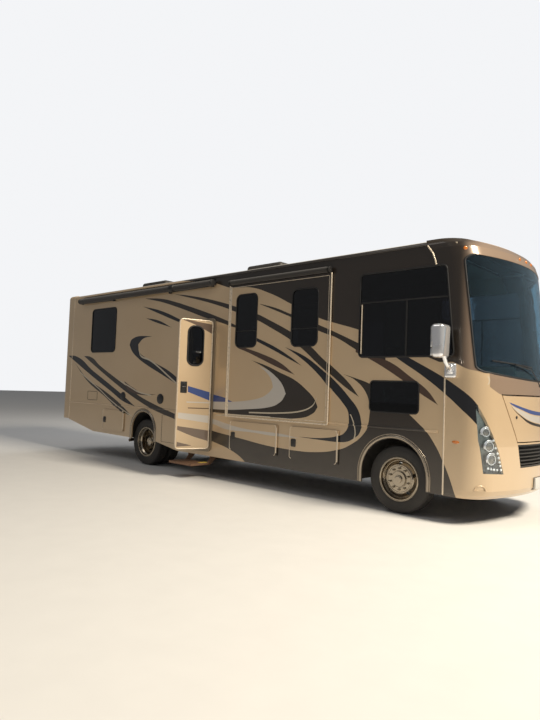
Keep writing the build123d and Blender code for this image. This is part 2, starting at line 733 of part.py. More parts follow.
def bay_door(side, front, rear, low):
    outer = SIDE_Y + MOVING_GAP + BAY_DOOR_THICKNESS
    rod_y = side * (SIDE_Y + MOVING_GAP + BAY_DOOR_THICKNESS / 2)
    with BuildPart() as leaf:
        add(slab(side, outer, BAY_DOOR_THICKNESS, panel(rear, front, low, BAY_TOP_Z, 30)))
        with BuildSketch(Plane.XY.offset(low + 40)):
            with Locations((front + 10, rod_y)):
                Circle(HINGE_BARREL_RADIUS)
            with Locations((front + 4, rod_y)):
                Rectangle(12, 2 * HINGE_BARREL_RADIUS)
        extrude(amount=BAY_TOP_Z - low - 80)
        with BuildSketch(Plane.XY.offset(low + 40)):
            with Locations((front + 10, rod_y)):
                Circle(HINGE_ROD_RADIUS + BARREL_PLAY)
        extrude(amount=BAY_TOP_Z - low - 80, mode=Mode.SUBTRACT)
        with BuildSketch(Plane.XZ.offset(-side * outer)):
            with Locations((rear + 85, (low + BAY_TOP_Z) / 2)):
                Circle(LATCH_RADIUS)
        extrude(amount=-side * LATCH_PROUD)
    return leaf.part


# Compartment liners: open boxes behind the skirt
def bay_liner(side, front, rear, low):
    out_y = side * (SIDE_Y - SKIRT_THICKNESS)
    in_y = side * (SIDE_Y - SKIRT_THICKNESS - BAY_DEPTH)
    with BuildPart() as liner:
        add(box_between(rear, front, *sorted((in_y, out_y)), low, FLOOR_LOW_Z))
        add(box_between(rear + BAY_WALL, front - BAY_WALL, *sorted((in_y + side * BAY_WALL, out_y)),
                        low + BAY_WALL, FLOOR_LOW_Z - BAY_WALL), mode=Mode.SUBTRACT)
    return liner.part


for side, word in SIDES:
    for name, front, rear, low in BAY_DOORS:
        save(bay_door(side, front, rear, low), f"bay_door_{word}_{name}")
    save(Compound([bay_liner(side, *sizes) for sizes in BAY_LINERS]), f"bays_{word}")


# Slide-out rooms: hollow boxes open to the cabin, with a flange that closes over the wall
for side, word, front, rear, depth in SLIDE_ROOMS:
    room = [rear + MOVING_GAP, front - MOVING_GAP, SLIDE_LOW_Z + MOVING_GAP, SLIDE_TOP_Z - MOVING_GAP]
    inner = [room[0] + SLIDE_WALL, room[1] - SLIDE_WALL, room[2] + SLIDE_WALL, room[3] - SLIDE_WALL]
    windows = [window_outline(*sizes) for at, *sizes in SLIDE_WINDOWS if at == side]
    flange_y = SIDE_Y + MOVING_GAP + SLIDE_FLANGE_THICKNESS
    flange = panel(rear - SLIDE_FLANGE, front + SLIDE_FLANGE, SLIDE_LOW_Z - SLIDE_FLANGE, SLIDE_TOP_Z + SLIDE_FLANGE, 12)
    with BuildPart() as slide_room:
        add(slab(side, flange_y, SLIDE_FLANGE_THICKNESS, flange))
        add(slab(side, SIDE_Y + MOVING_GAP, depth, panel(*room)))
        add(slab(side, SIDE_Y + MOVING_GAP - SLIDE_WALL, depth, panel(*inner)), mode=Mode.SUBTRACT)
        for window in windows:
            add(slab(side, flange_y, depth, window), mode=Mode.SUBTRACT)
    save(slide_room.part, f"slide_room_{word}")
    panes = [slab(side, flange_y - 8, PANE_THICKNESS, window) for window in windows]
    save(Compound(panes), f"slide_glass_{word}")


# Panes of the fixed side windows
panes = [slab(side, SIDE_Y - 6, PANE_THICKNESS, cab_window()) for side, word in SIDES]
panes += [slab(side, SIDE_Y - 6, PANE_THICKNESS, window_outline(*sizes)) for name, side, *sizes in SIDE_WINDOWS]
save(Compound(panes), "side_glass")


# Roof: a crowned slab between the caps, rounded at its edges
ROOF_EDGE_RADIUS = 55

with BuildPart() as roof:
    with BuildSketch(Plane.YZ.offset(REAR_JOINT_X)):
        with BuildLine():
            Line((-SIDE_Y, WALL_TOP_Z), (SIDE_Y, WALL_TOP_Z))
            Line((SIDE_Y, WALL_TOP_Z), (SIDE_Y, ROOF_EDGE_Z))
            ThreePointArc((SIDE_Y, ROOF_EDGE_Z), (0, ROOF_EDGE_Z + ROOF_CROWN), (-SIDE_Y, ROOF_EDGE_Z))
            Line((-SIDE_Y, ROOF_EDGE_Z), (-SIDE_Y, WALL_TOP_Z))
        make_face()
    extrude(amount=760 - REAR_JOINT_X)
    fillet(roof.edges().filter_by(Axis.X).group_by(Axis.Z)[-1], ROOF_EDGE_RADIUS)
    add(across(ahead_of_joint()), mode=Mode.SUBTRACT)
save(roof.part, "roof")


# Front cap: a moulded shell lofted through level sections of straight sides, round corners and a crowned nose
CAP_LEVELS = (
    # level z, how far the nose stands back, how far the sides stand in
    (CAP_LOW_Z, 115, 20),
    (390, 60, 5),
    (450, 30, 0),
    (1000, 0, 0),
    (WINDSHIELD_LOW_Z - WINDSHIELD_DIP, 8, 0),
    (WINDSHIELD_TOP_Z + 5, 200, 0),
    (3550, 236, 0),
    (3610, 285, 6),
    (3655, 355, 26),
    (CAP_TOP_Z, 455, 60),
)
CAP_BACK_X = -200


def cap_section(z, back, sideways, inset):
    nose = NOSE_X - back - inset
    half = SIDE_Y - sideways - inset
    corner = CORNER_RADIUS - inset
    crown = CROWN_RADIUS - inset
    crown_x = nose - crown
    corner_y = half - corner
    corner_x = crown_x + math.sqrt((crown - corner) ** 2 - corner_y ** 2)
    lean = math.atan2(corner_y, corner_x - crown_x)
    join = (crown_x + crown * math.cos(lean), crown * math.sin(lean))
    turn = (math.pi / 2 + lean) / 2
    middle = (corner_x + corner * math.cos(turn), corner_y + corner * math.sin(turn))
    with BuildSketch(Plane.XY.offset(z)) as section:
        with BuildLine():
            Line((CAP_BACK_X, -half), (corner_x, -half))
            ThreePointArc((corner_x, -half), (middle[0], -middle[1]), (join[0], -join[1]))
            ThreePointArc((join[0], -join[1]), (nose, 0), join)
            ThreePointArc(join, middle, (corner_x, half))
            Line((corner_x, half), (CAP_BACK_X, half))
            Line((CAP_BACK_X, half), (CAP_BACK_X, -half))
        make_face()
    return section.sketch


def cap_volume(inset):
    """The whole nose filled solid, inset all round; below, an inset nose runs past the bottom edge."""
    with BuildPart() as volume:
        for z, back, sideways in CAP_LEVELS:
            level = z - inset if z == CAP_TOP_Z else z
            if z == CAP_LOW_Z and inset:
                level = z - 1
            add(cap_section(level, back, sideways, inset))
        loft(ruled=True)
    return volume.part


with BuildSketch() as windshield_sketch:
    with BuildLine():
        half = SIDE_Y - 42
        ThreePointArc((-half, WINDSHIELD_LOW_Z), (0, WINDSHIELD_LOW_Z - WINDSHIELD_DIP), (half, WINDSHIELD_LOW_Z))
        Polyline((half, WINDSHIELD_LOW_Z), (half, WINDSHIELD_TOP_Z), (-half, WINDSHIELD_TOP_Z), (-half, WINDSHIELD_LOW_Z))
    make_face()
    fillet(windshield_sketch.vertices(), 90)

HATCH_TOP_Z = 1660
HATCH_LOW_Z = 1045
HATCH_TOP_HALF = 962
HATCH_LOW_HALF = 652
HATCH_GAP = 14
GRILLE_LOW_Z = 725
GRILLE_LOW_HALF = 552

hatch_opening = polygon((-HATCH_LOW_HALF, HATCH_LOW_Z), (HATCH_LOW_HALF, HATCH_LOW_Z),
                        (HATCH_TOP_HALF, HATCH_TOP_Z), (-HATCH_TOP_HALF, HATCH_TOP_Z))
grille_opening = polygon((-GRILLE_LOW_HALF, GRILLE_LOW_Z), (GRILLE_LOW_HALF, GRILLE_LOW_Z),
                         (HATCH_LOW_HALF - 8, HATCH_LOW_Z - 22), (-HATCH_LOW_HALF + 8, HATCH_LOW_Z - 22))


def lamp_outline(side):
    """A tall curved lamp that starts narrow on the corner and widens to its foot."""
    with BuildSketch() as outline:
        with BuildLine():
            Polyline((side * 1248, 1545), (side * 1205, 1420), (side * 1132, 1230), (side * 990, 930),
                     (side * 885, 660), (side * 1180, 675), (side * 1232, 1078), close=True)
        make_face()
    return outline.sketch


cap_outside = cap_volume(0)
cap_inside = cap_volume(CAP_THICKNESS)
lamp_openings = [forward(lamp_outline(side), 900, 1600) for side, word in SIDES]
windshield_block = forward(windshield_sketch.sketch, 700, 1600)
ahead = across(ahead_of_joint())

with BuildPart() as front_cap:
    add(cap_outside)
    add(cap_inside, mode=Mode.SUBTRACT)
    add(ahead, mode=Mode.INTERSECT)
    add(windshield_block, mode=Mode.SUBTRACT)
    add(across(cab_window()), mode=Mode.SUBTRACT)
    add(forward(hatch_opening, 900, 1600), mode=Mode.SUBTRACT)
    add(forward(grille_opening, 900, 1600), mode=Mode.SUBTRACT)
    for opening in lamp_openings:
        add(opening, mode=Mode.SUBTRACT)
save(front_cap.part, "front_cap")

with BuildPart() as glass_shell:
    add(cap_volume(6))
    add(cap_volume(6 + PANE_THICKNESS), mode=Mode.SUBTRACT)
    add(windshield_block, mode=Mode.INTERSECT)
save(glass_shell.part, "windshield")

lamps = []
for opening in lamp_openings:
    with BuildPart() as lamp:
        add(cap_volume(1))
        add(cap_inside, mode=Mode.SUBTRACT)
        add(opening, mode=Mode.INTERSECT)
    lamps.append(lamp.part)

# Front hatch: the panel between the lamps, which lifts to reach the engine
with BuildPart() as front_hatch:
    add(cap_outside)
    add(cap_inside, mode=Mode.SUBTRACT)
    hatch_leaf = offset(hatch_opening, amount=-HATCH_GAP, mode=Mode.PRIVATE)
    add(forward(hatch_leaf, 900, 1600), mode=Mode.INTERSECT)
save(front_hatch.part, "front_hatch")

# Grille: level slats in a frame behind the lower opening
SLAT_PITCH = 46
SLAT_WIDTH = 14

grille_inside = offset(grille_opening, amount=-22)
with BuildPart() as grille_bars:
    with BuildSketch(Plane.YZ.offset(900)):
        add(grille_opening)
        add(grille_inside, mode=Mode.SUBTRACT)
    extrude(amount=700)
    with BuildSketch(Plane.YZ.offset(900)):
        for level in range(1, 6):
            with Locations((0, GRILLE_LOW_Z + level * SLAT_PITCH)):
                Rectangle(2 * HATCH_LOW_HALF, SLAT_WIDTH)
    extrude(amount=700)
    with BuildSketch(Plane.YZ.offset(900)):
        add(grille_opening)
    extrude(amount=700, mode=Mode.INTERSECT)

with BuildPart() as grille:
    add(cap_volume(8))
    add(cap_volume(34), mode=Mode.SUBTRACT)
    add(grille_bars.part, mode=Mode.INTERSECT)
save(grille.part, "grille")


# Rear cap: a moulded shell with rounded corners
def rear_volume(inset):
    with BuildPart() as volume:
        with BuildSketch(Plane.XY.offset(REAR_CAP_LOW_Z - (1 if inset else 0))):
            with Locations(((REAR_FACE_X + inset + REAR_JOINT_X + 400) / 2, 0)):
                Rectangle(REAR_JOINT_X + 400 - REAR_FACE_X - inset, BODY_WIDTH - 2 * inset)
        extrude(amount=CAP_TOP_Z - inset - REAR_CAP_LOW_Z + (1 if inset else 0))
        fillet(volume.edges().filter_by(Axis.Z).group_by(Axis.X)[0], REAR_CORNER_RADIUS - inset)
        fillet(volume.edges().group_by(Axis.Z)[-1].filter_by(lambda e: e.center().X < REAR_JOINT_X + 300),
               80 - inset)
    return volume.part


with BuildPart() as rear_cap:
    add(rear_volume(0))
    add(rear_volume(REAR_CAP_THICKNESS), mode=Mode.SUBTRACT)
    add(box_between(REAR_JOINT_X, REAR_JOINT_X + 1000, -SIDE_Y - 10, SIDE_Y + 10, 0, 5000), mode=Mode.SUBTRACT)

# Tail lamps set into the rear cap, kept with the headlamps
with BuildPart() as tail_cut:
    for side, word in SIDES:
        add(box_between(REAR_FACE_X, REAR_FACE_X + REAR_CAP_THICKNESS, *sorted((side * 1010, side * 1100)),
                        1250, 1750))
save(rear_cap.part - tail_cut.part, "rear_cap")
save(Compound(lamps + list(tail_cut.solids())), "lamps")

# Hitch receiver under the rear: a cross tube with a square socket and its pin hole
SOCKET_INSIDE = 51
SOCKET_WALL = 8
SOCKET_Z = 560
PIN_HOLE_RADIUS = 8.2
SOCKET_MOUTH_X = REAR_FACE_X + 20

with BuildPart() as hitch:
    outside = SOCKET_INSIDE / 2 + SOCKET_WALL
    add(box_between(SOCKET_MOUTH_X, SOCKET_MOUTH_X + 330, -outside, outside, SOCKET_Z - outside, SOCKET_Z + outside))
    add(box_between(SOCKET_MOUTH_X + 270, SOCKET_MOUTH_X + 330, -RAIL_Y, RAIL_Y, SOCKET_Z - outside, SOCKET_Z + outside))
    for side, word in SIDES:
        add(box_between(SOCKET_MOUTH_X + 190, SOCKET_MOUTH_X + 410, *sorted((side * RAIL_Y, side * (RAIL_Y + 10))),
                        SOCKET_Z - outside, RAIL_TOP_Z - 30))
    add(box_between(SOCKET_MOUTH_X, SOCKET_MOUTH_X + 270, -SOCKET_INSIDE / 2, SOCKET_INSIDE / 2,
                    SOCKET_Z - SOCKET_INSIDE / 2, SOCKET_Z + SOCKET_INSIDE / 2), mode=Mode.SUBTRACT)
    with BuildSketch(Plane.XZ.offset(-outside)):
        with Locations((SOCKET_MOUTH_X + 65, SOCKET_Z)):
            Circle(PIN_HOLE_RADIUS)
    extrude(amount=2 * outside, mode=Mode.SUBTRACT)
save(hitch.part, "hitch_receiver")


# Entry door: the leaf is made shut along the wall, then swung open about its hinge line
HINGE_Y = SIDE_Y + MOVING_GAP + DOOR_THICKNESS / 2
door_window = panel(DOOR_HINGE_X - DOOR_WIDTH + 170, DOOR_HINGE_X - 180, 1990, 2690, 120)


def swung(piece):
    """Turn a piece made in the shut position to where the open door stands."""
    return piece.rotate(Axis((DOOR_HINGE_X, -HINGE_Y, 0), (0, 0, 1)), DOOR_OPEN_DEG)


HINGE_LEVELS = (700, 1600, 2600)
HINGE_LENGTH = 90
LUG_GAP = 3
LUG_HEIGHT = 12
LUG_RADIUS = 9
DOOR_PIN_RADIUS = 6

with BuildPart() as entry_door:
    leaf_outer = SIDE_Y + MOVING_GAP + DOOR_THICKNESS
    add(slab(RIGHT, leaf_outer, DOOR_THICKNESS,
             panel(DOOR_HINGE_X - DOOR_WIDTH, DOOR_HINGE_X - 12, DOOR_LOW_Z, DOOR_TOP_Z, 90), [door_window]))
    for z in HINGE_LEVELS:
        with BuildSketch(Plane.XY.offset(z)):
            with Locations((DOOR_HINGE_X, -HINGE_Y)):
                Circle(11)
            with Locations((DOOR_HINGE_X - 8, -HINGE_Y)):
                Rectangle(16, 22)
        extrude(amount=HINGE_LENGTH)
        with BuildSketch(Plane.XY.offset(z)):
            with Locations((DOOR_HINGE_X, -HINGE_Y)):
                Circle(DOOR_PIN_RADIUS + BARREL_PLAY)
        extrude(amount=HINGE_LENGTH, mode=Mode.SUBTRACT)
save(swung(entry_door.part), "entry_door")
save(swung(slab(RIGHT, SIDE_Y + MOVING_GAP + DOOR_THICKNESS / 2 + 4, 8, door_window)), "entry_door_glass")

# Door frame: a moulded rim round the doorway, with a pin between two lugs for each of the door's hinges
frame_inside = panel(DOOR_HINGE_X - DOOR_WIDTH - 8, DOOR_HINGE_X + 14, DOOR_LOW_Z - 8, DOOR_TOP_Z + 8, 60)
frame_outside = panel(DOOR_HINGE_X - DOOR_WIDTH - 8 - DOOR_FRAME_WIDTH, DOOR_HINGE_X + 14 + DOOR_FRAME_WIDTH,
                      DOOR_LOW_Z - 8 - DOOR_FRAME_WIDTH, DOOR_TOP_Z + 8 + DOOR_FRAME_WIDTH, 100)
with BuildPart() as door_frame:
    add(slab(RIGHT, SIDE_Y + DOOR_FRAME_PROUD, DOOR_FRAME_PROUD, frame_outside, [frame_inside]))
    for z in HINGE_LEVELS:
        for low in (z - LUG_GAP - LUG_HEIGHT, z + HINGE_LENGTH + LUG_GAP):
            add(box_between(DOOR_HINGE_X, DOOR_HINGE_X + 20, -HINGE_Y, -SIDE_Y, low, low + LUG_HEIGHT))
            with BuildSketch(Plane.XY.offset(low)):
                with Locations((DOOR_HINGE_X, -HINGE_Y)):
                    Circle(LUG_RADIUS)
            extrude(amount=LUG_HEIGHT)
        with BuildSketch(Plane.XY.offset(z - LUG_GAP)):
            with Locations((DOOR_HINGE_X, -HINGE_Y)):
                Circle(DOOR_PIN_RADIUS)
        extrude(amount=HINGE_LENGTH + 2 * LUG_GAP)
save(door_frame.part, "door_frame")

# Entry step: a single tread standing out below the doorway, on two arms that pass under the skirt
STEP_TOP_Z = 270
STEP_THICKNESS = 40
STEP_OUT_Y = SIDE_Y + 400
STEP_IN_Y = SIDE_Y + 20
STEP_ARM = 12

step_arm = polygon(
    (-STEP_OUT_Y + 150, STEP_TOP_Z - STEP_THICKNESS), (-SIDE_Y + 60, STEP_TOP_Z - STEP_THICKNESS),
    (-SIDE_Y + 280, WELL_LOW_Z - WELL_WALL - 100), (-SIDE_Y + 280, WELL_LOW_Z - WELL_WALL),
    (-SIDE_Y + 40, WELL_LOW_Z - WELL_WALL), (-SIDE_Y + 40, STEP_TOP_Z + 70),
    (-STEP_IN_Y, STEP_TOP_Z), (-STEP_OUT_Y + 150, STEP_TOP_Z),
)
with BuildPart() as entry_step:
    add(box_between(WELL_REAR_X, WELL_FRONT_X, -STEP_OUT_Y, -STEP_IN_Y, STEP_TOP_Z - STEP_THICKNESS, STEP_TOP_Z))
    for x in (WELL_REAR_X, WELL_FRONT_X - STEP_ARM):
        add(forward(step_arm, x, x + STEP_ARM))
save(entry_step.part, "entry_step")


# Mirrors: a tall head on a curved arm from a base on the pillar
def mirror(side):
    with BuildPart() as unit:
        add(box_between(690, 830, *sorted((side * SIDE_Y, side * (SIDE_Y + 45))), 1850, 2010))
        with BuildLine() as arm:
            FilletPolyline((760, side * (SIDE_Y + 30), 1950), (790, side * (SIDE_Y + 180), 1990),
                           (800, side * (SIDE_Y + 270), 2070), (800, side * (SIDE_Y + 270), 2160), radius=50)
        with BuildSketch(Plane(origin=arm.line @ 0, z_dir=arm.line % 0)):
            Circle(22)
        sweep(path=arm.line)
        with BuildSketch(Plane.XY.offset(2090)):
            with Locations((770, side * (SIDE_Y + MIRROR_REACH - 130))):
                RectangleRounded(110, 260, 40)
        extrude(amount=420)
    return unit.part


save(Compound([mirror(side) for side, word in SIDES]), "mirrors")


# Roof air units: low shrouds with sloping ends
AIR_UNIT_PLACES = (-3550, -WHEELBASE - 1259)
AIR_UNIT_LENGTH = 1000
AIR_UNIT_WIDTH = 700
AIR_UNIT_HEIGHT = 330


def air_unit(x):
    with BuildPart() as shroud:
        with BuildSketch(Plane.XY.offset(ROOF_EDGE_Z + ROOF_CROWN)):
            with Locations((x, 0)):
                RectangleRounded(AIR_UNIT_LENGTH, AIR_UNIT_WIDTH, 110)
        extrude(amount=AIR_UNIT_HEIGHT, taper=10)
        fillet(shroud.edges().group_by(Axis.Z)[-1], 60)
    return shroud.part


save(Compound([air_unit(x) for x in AIR_UNIT_PLACES]), "air_units")

# Patio awning: a fabric roller under the roof edge, held by end brackets
AWNING_FRONT_X = -3760
AWNING_REAR_X = REAR_JOINT_X + 400
AWNING_Y = SIDE_Y + 85
AWNING_Z = 3500
AWNING_RADIUS = 62

with BuildPart() as awning:
    with BuildSketch(Plane.YZ.offset(AWNING_REAR_X)):
        with Locations((-AWNING_Y, AWNING_Z)):
            Circle(AWNING_RADIUS)
    extrude(amount=AWNING_FRONT_X - AWNING_REAR_X)
    for x in (AWNING_FRONT_X - 30, (AWNING_FRONT_X + AWNING_REAR_X) / 2, AWNING_REAR_X):
        add(box_between(x, x + 30, -AWNING_Y, -SIDE_Y, AWNING_Z - 70, AWNING_Z + 70))
save(awning.part, "patio_awning")

# Slide toppers: the small rollers over the slide-out rooms, on brackets from their flanges
TOPPER_RADIUS = 32
TOPPER_Z = SLIDE_TOP_Z + SLIDE_FLANGE + TOPPER_RADIUS + 8

for side, word, front, rear, depth in SLIDE_ROOMS:
    topper_y = side * (SIDE_Y + MOVING_GAP + TOPPER_RADIUS + 2)
    with BuildPart() as topper:
        with BuildSketch(Plane.YZ.offset(rear - SLIDE_FLANGE)):
            with Locations((topper_y, TOPPER_Z)):
                Circle(TOPPER_RADIUS)
        extrude(amount=front - rear + 2 * SLIDE_FLANGE)
        for x in (rear - SLIDE_FLANGE, front + SLIDE_FLANGE - 20):
            add(box_between(x, x + 20, *sorted((side * (SIDE_Y + MOVING_GAP), side * (SIDE_Y + MOVING_GAP + 40))),
                            SLIDE_TOP_Z + SLIDE_FLANGE, TOPPER_Z))
    save(topper.part, f"slide_topper_{word}")

# Dash across the cab, following the inside of the nose
DASH_REAR_X = 705
DASH_LOW_Z = 1680
DASH_TOP_Z = 1835

with BuildPart() as dash:
    add(cap_volume(CAP_THICKNESS + 4))
    add(box_between(DASH_REAR_X, NOSE_X, -BODY_WIDTH, BODY_WIDTH, DASH_LOW_Z, DASH_TOP_Z), mode=Mode.INTERSECT)
save(dash.part, "dash")

# Cab seats: a pedestal, a cushion and a back
SEAT_Y = SIDE_Y - 562
SEAT_X = -150


def seat_base(side):
    with BuildPart() as base:
        add(box_between(SEAT_X - 180, SEAT_X + 180, side * SEAT_Y - 170, side * SEAT_Y + 170, FLOOR_TOP_Z, FLOOR_TOP_Z + 300))
    return base.part


def seat_pad(side):
    cushion_low = FLOOR_TOP_Z + 301
    with BuildPart() as pad:
        add(box_between(SEAT_X - 220, SEAT_X + 320, side * SEAT_Y - 265, side * SEAT_Y + 265, cushion_low, cushion_low + 150))
        with BuildSketch(Plane.XZ.offset(-side * SEAT_Y - 250)):
            with BuildLine():
                Polyline((SEAT_X - 220, cushion_low + 60), (SEAT_X - 80, cushion_low + 150),
                         (SEAT_X - 200, cushion_low + 900), (SEAT_X - 330, cushion_low + 900), close=True)
            make_face()
        extrude(amount=500)
    return pad.part


save(Compound([seat_base(side) for side, word in SIDES]), "seat_bases")
save(Compound([seat_pad(side) for side, word in SIDES]), "seats")

# Steering wheel and column on the driver's side
COLUMN_TILT = math.radians(50)
COLUMN_LENGTH = 155
column_plane = Plane(origin=(560, SEAT_Y, 1800), z_dir=(-math.sin(COLUMN_TILT), 0, math.cos(COLUMN_TILT)))

with BuildPart() as steering_wheel:
    with BuildSketch(column_plane):
        Circle(225)
        Circle(205, mode=Mode.SUBTRACT)
        Rectangle(420, 26)
        Rectangle(26, 420)
        Circle(55)
    extrude(amount=22)
    with BuildSketch(column_plane):
        Circle(30)
    extrude(amount=-COLUMN_LENGTH)
save(steering_wheel.part, "steering_wheel")
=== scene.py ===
import math

import bmesh
import bpy
from mathutils import Matrix, Vector

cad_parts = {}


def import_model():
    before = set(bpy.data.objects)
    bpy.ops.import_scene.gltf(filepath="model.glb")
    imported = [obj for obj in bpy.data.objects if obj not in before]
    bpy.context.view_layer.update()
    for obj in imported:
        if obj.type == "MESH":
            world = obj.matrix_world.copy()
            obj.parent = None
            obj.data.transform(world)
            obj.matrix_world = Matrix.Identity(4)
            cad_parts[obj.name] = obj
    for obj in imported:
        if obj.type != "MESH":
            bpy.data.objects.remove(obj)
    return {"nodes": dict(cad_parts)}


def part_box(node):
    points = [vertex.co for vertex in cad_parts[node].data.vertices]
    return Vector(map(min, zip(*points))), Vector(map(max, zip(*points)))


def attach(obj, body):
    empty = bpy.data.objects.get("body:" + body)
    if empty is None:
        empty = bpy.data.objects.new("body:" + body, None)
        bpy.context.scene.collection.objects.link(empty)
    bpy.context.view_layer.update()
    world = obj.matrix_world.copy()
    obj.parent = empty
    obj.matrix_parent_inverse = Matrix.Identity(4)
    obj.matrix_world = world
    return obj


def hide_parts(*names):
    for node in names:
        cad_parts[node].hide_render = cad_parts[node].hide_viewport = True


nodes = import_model()["nodes"]
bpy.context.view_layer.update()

# Places are given in metres from the front axle, the centreline and the ground, as on the real vehicle's
# drawing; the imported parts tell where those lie.
tyre_low, tyre_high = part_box("front_tyre_right")
glass_low, glass_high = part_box("windshield")
AXLE_X = (tyre_low[0] + tyre_high[0]) / 2
CENTRE_Y = (glass_low[1] + glass_high[1]) / 2
SIDE_Y = CENTRE_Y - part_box("wall_right")[0][1]
WHEEL_Z = (tyre_low[2] + tyre_high[2]) / 2
DRAWING = Vector((AXLE_X, CENTRE_Y, 0))
RIGHT, LEFT = -1, 1
SIDES = ((RIGHT, "right"), (LEFT, "left"))


# Camera. A 29 mm lens stands low ahead of the right front corner, a little over seven metres away,
# and looks back along the right side.
CAMERA_PLACE = Vector((4.060, -8.2835, 1.620)) + DRAWING
CAMERA_YAW = math.radians(132.59)
CAMERA_PITCH = math.radians(2.87)
CAMERA_ROLL = math.radians(2.09)
LENS_MM, SENSOR_MM = 29, 36
SIGHT = 200

bpy.ops.object.camera_add(location=CAMERA_PLACE)
camera = bpy.context.object
camera.rotation_mode = "QUATERNION"
ahead = Vector((
    math.cos(CAMERA_PITCH) * math.cos(CAMERA_YAW), math.cos(CAMERA_PITCH) * math.sin(CAMERA_YAW),
    math.sin(CAMERA_PITCH),
))
level = ahead.cross(Vector((0, 0, 1))).normalized()
upright = level.cross(ahead)
right = level * math.cos(CAMERA_ROLL) + upright * math.sin(CAMERA_ROLL)
upward = upright * math.cos(CAMERA_ROLL) - level * math.sin(CAMERA_ROLL)
camera.rotation_quaternion = Matrix((right, upward, -ahead)).transposed().to_quaternion()
camera.data.lens = LENS_MM
camera.data.sensor_width = SENSOR_MM
camera.data.clip_end = SIGHT
bpy.context.scene.camera = camera


# Studio. A plain pale floor under a pale world, a large soft lamp high ahead on the right as the sun stood,
# and two weaker ones that open the shade along the side and behind.
FLOOR_SIZE = 160
FLOOR_DROP = 0.004
FLOOR_COLOUR = (0.80, 0.79, 0.77, 1)
FLOOR_PATCHES = (0.744, 0.7347, 0.7161, 1)
SKY_COLOUR = (0.97, 0.98, 1.0, 1)
BACKDROP_STRENGTH = 0.93
AMBIENT_STRENGTH = 0.19
LAMP_AIM = Vector((0, 0, 1.6))
LAMPS = (
    # name, place, size, watts, colour
    ("key", (14.5, -1.0, 13.0), 4.5, 4100, (1.0, 0.90, 0.74)),
    ("side", (-3.0, -12.0, 17.0), 8.0, 290, (1.0, 0.96, 0.91)),
    ("far", (-6.0, 13.0, 9.0), 9.0, 700, (0.95, 0.97, 1.0)),
)


def add_node(tree, kind, inputs=(), **settings):
    """A new shader node with its settings, and its inputs fed by sockets or set to values."""
    node = tree.nodes.new(kind)
    for key, value in settings.items():
        setattr(node, key, value)
    for key, value in dict(inputs).items():
        if isinstance(value, bpy.types.NodeSocket):
            tree.links.new(value, node.inputs[key])
        else:
            node.inputs[key].default_value = value
    return node


def reckon(tree, operation, a, b=0.0):
    return add_node(tree, "ShaderNodeMath", {0: a, 1: b}, operation=operation).outputs[0]


def ramp(tree, value, start, end, low=0.0, high=1.0, **settings):
    """How far a value has come from start to end, laid out from low to high."""
    return add_node(tree, "ShaderNodeMapRange", {
        "Value": value, "From Min": start, "From Max": end, "To Min": low, "To Max": high,
    }, **settings).outputs["Result"]


def blend_colour(tree, share, below, above):
    return add_node(tree, "ShaderNodeMix", {"Factor": share, "A": below, "B": above},
                    data_type="RGBA").outputs["Result"]


bpy.ops.mesh.primitive_plane_add(size=FLOOR_SIZE, location=(0, 0, -FLOOR_DROP))
ground = bpy.context.object
ground.name = "studio_floor"
ground_paint = bpy.data.materials.new("studio_floor")
ground_paint.use_nodes = True
ground.data.materials.append(ground_paint)
tree = ground_paint.node_tree
shader = tree.nodes["Principled BSDF"]
shader.inputs["Roughness"].default_value = 0.9
place = add_node(tree, "ShaderNodeTexCoord").outputs["Object"]
speckle = add_node(tree, "ShaderNodeTexNoise", {"Vector": place, "Scale": 3.0, "Detail": 6}).outputs["Fac"]
tree.links.new(blend_colour(tree, speckle, FLOOR_COLOUR, FLOOR_PATCHES), shader.inputs["Base Color"])

# The camera and the glass see a bright backdrop, and the rest is lit by a dim one
world = bpy.data.worlds.new("studio")
bpy.context.scene.world = world
world.use_nodes = True
tree = world.node_tree
rays = add_node(tree, "ShaderNodeLightPath").outputs
seen = reckon(tree, "MAXIMUM", rays["Is Camera Ray"], rays["Is Transmission Ray"])
sky = tree.nodes["Background"].inputs
sky["Color"].default_value = SKY_COLOUR
tree.links.new(ramp(tree, seen, 0.0, 1.0, AMBIENT_STRENGTH, BACKDROP_STRENGTH), sky["Strength"])

for name, place, size, watts, colour in LAMPS:
    bpy.ops.object.light_add(type="AREA", location=place)
    lamp = bpy.context.object
    lamp.name = f"lamp_{name}"
    lamp.data.size = size
    lamp.data.energy = watts
    lamp.data.color = colour
    lamp.rotation_mode = "QUATERNION"
    lamp.rotation_quaternion = (LAMP_AIM - Vector(place)).to_track_quat("-Z", "Y")

bpy.context.scene.view_settings.view_transform = "Standard"


# Coach body: laminated walls with a smooth outer skin, fibreglass caps and skirts, all sprayed in one scheme
# of champagne metallic with espresso fields, black and brown sweeps and a silver ribbon, under clear coat.
CHAMPAGNE = (0.560, 0.405, 0.245, 1)
CHAMPAGNE_PALE = (0.640, 0.490, 0.320, 1)
ESPRESSO = (0.030, 0.022, 0.016, 1)
BROWN = (0.075, 0.042, 0.028, 1)
NIGHT = (0.008, 0.008, 0.012, 1)
MOCHA = (0.295, 0.212, 0.152, 1)
PINSTRIPE = (0.60, 0.52, 0.40, 1)
SILVER = (0.58, 0.54, 0.49, 1)
RIBBON_BLUE = (0.050, 0.085, 0.260, 1)
CABIN_CREAM = (0.42, 0.36, 0.28, 1)

# Lines of the scheme are drawn as (along, height) from rear to front. Above this one lies the dark roof edge
ROOF_FIELD = ((-4.9, 3.665), (-4.4, 3.6), (-3.86, 3.52), (-3.32, 3.375), (-2.9, 3.345), (-2.41, 3.2),
              (-1.93, 2.985), (-1.35, 2.725), (-1.08, 2.642), (-0.7, 2.536), (-0.3, 2.4), (0.1, 2.25),
              (0.6, 2.05))

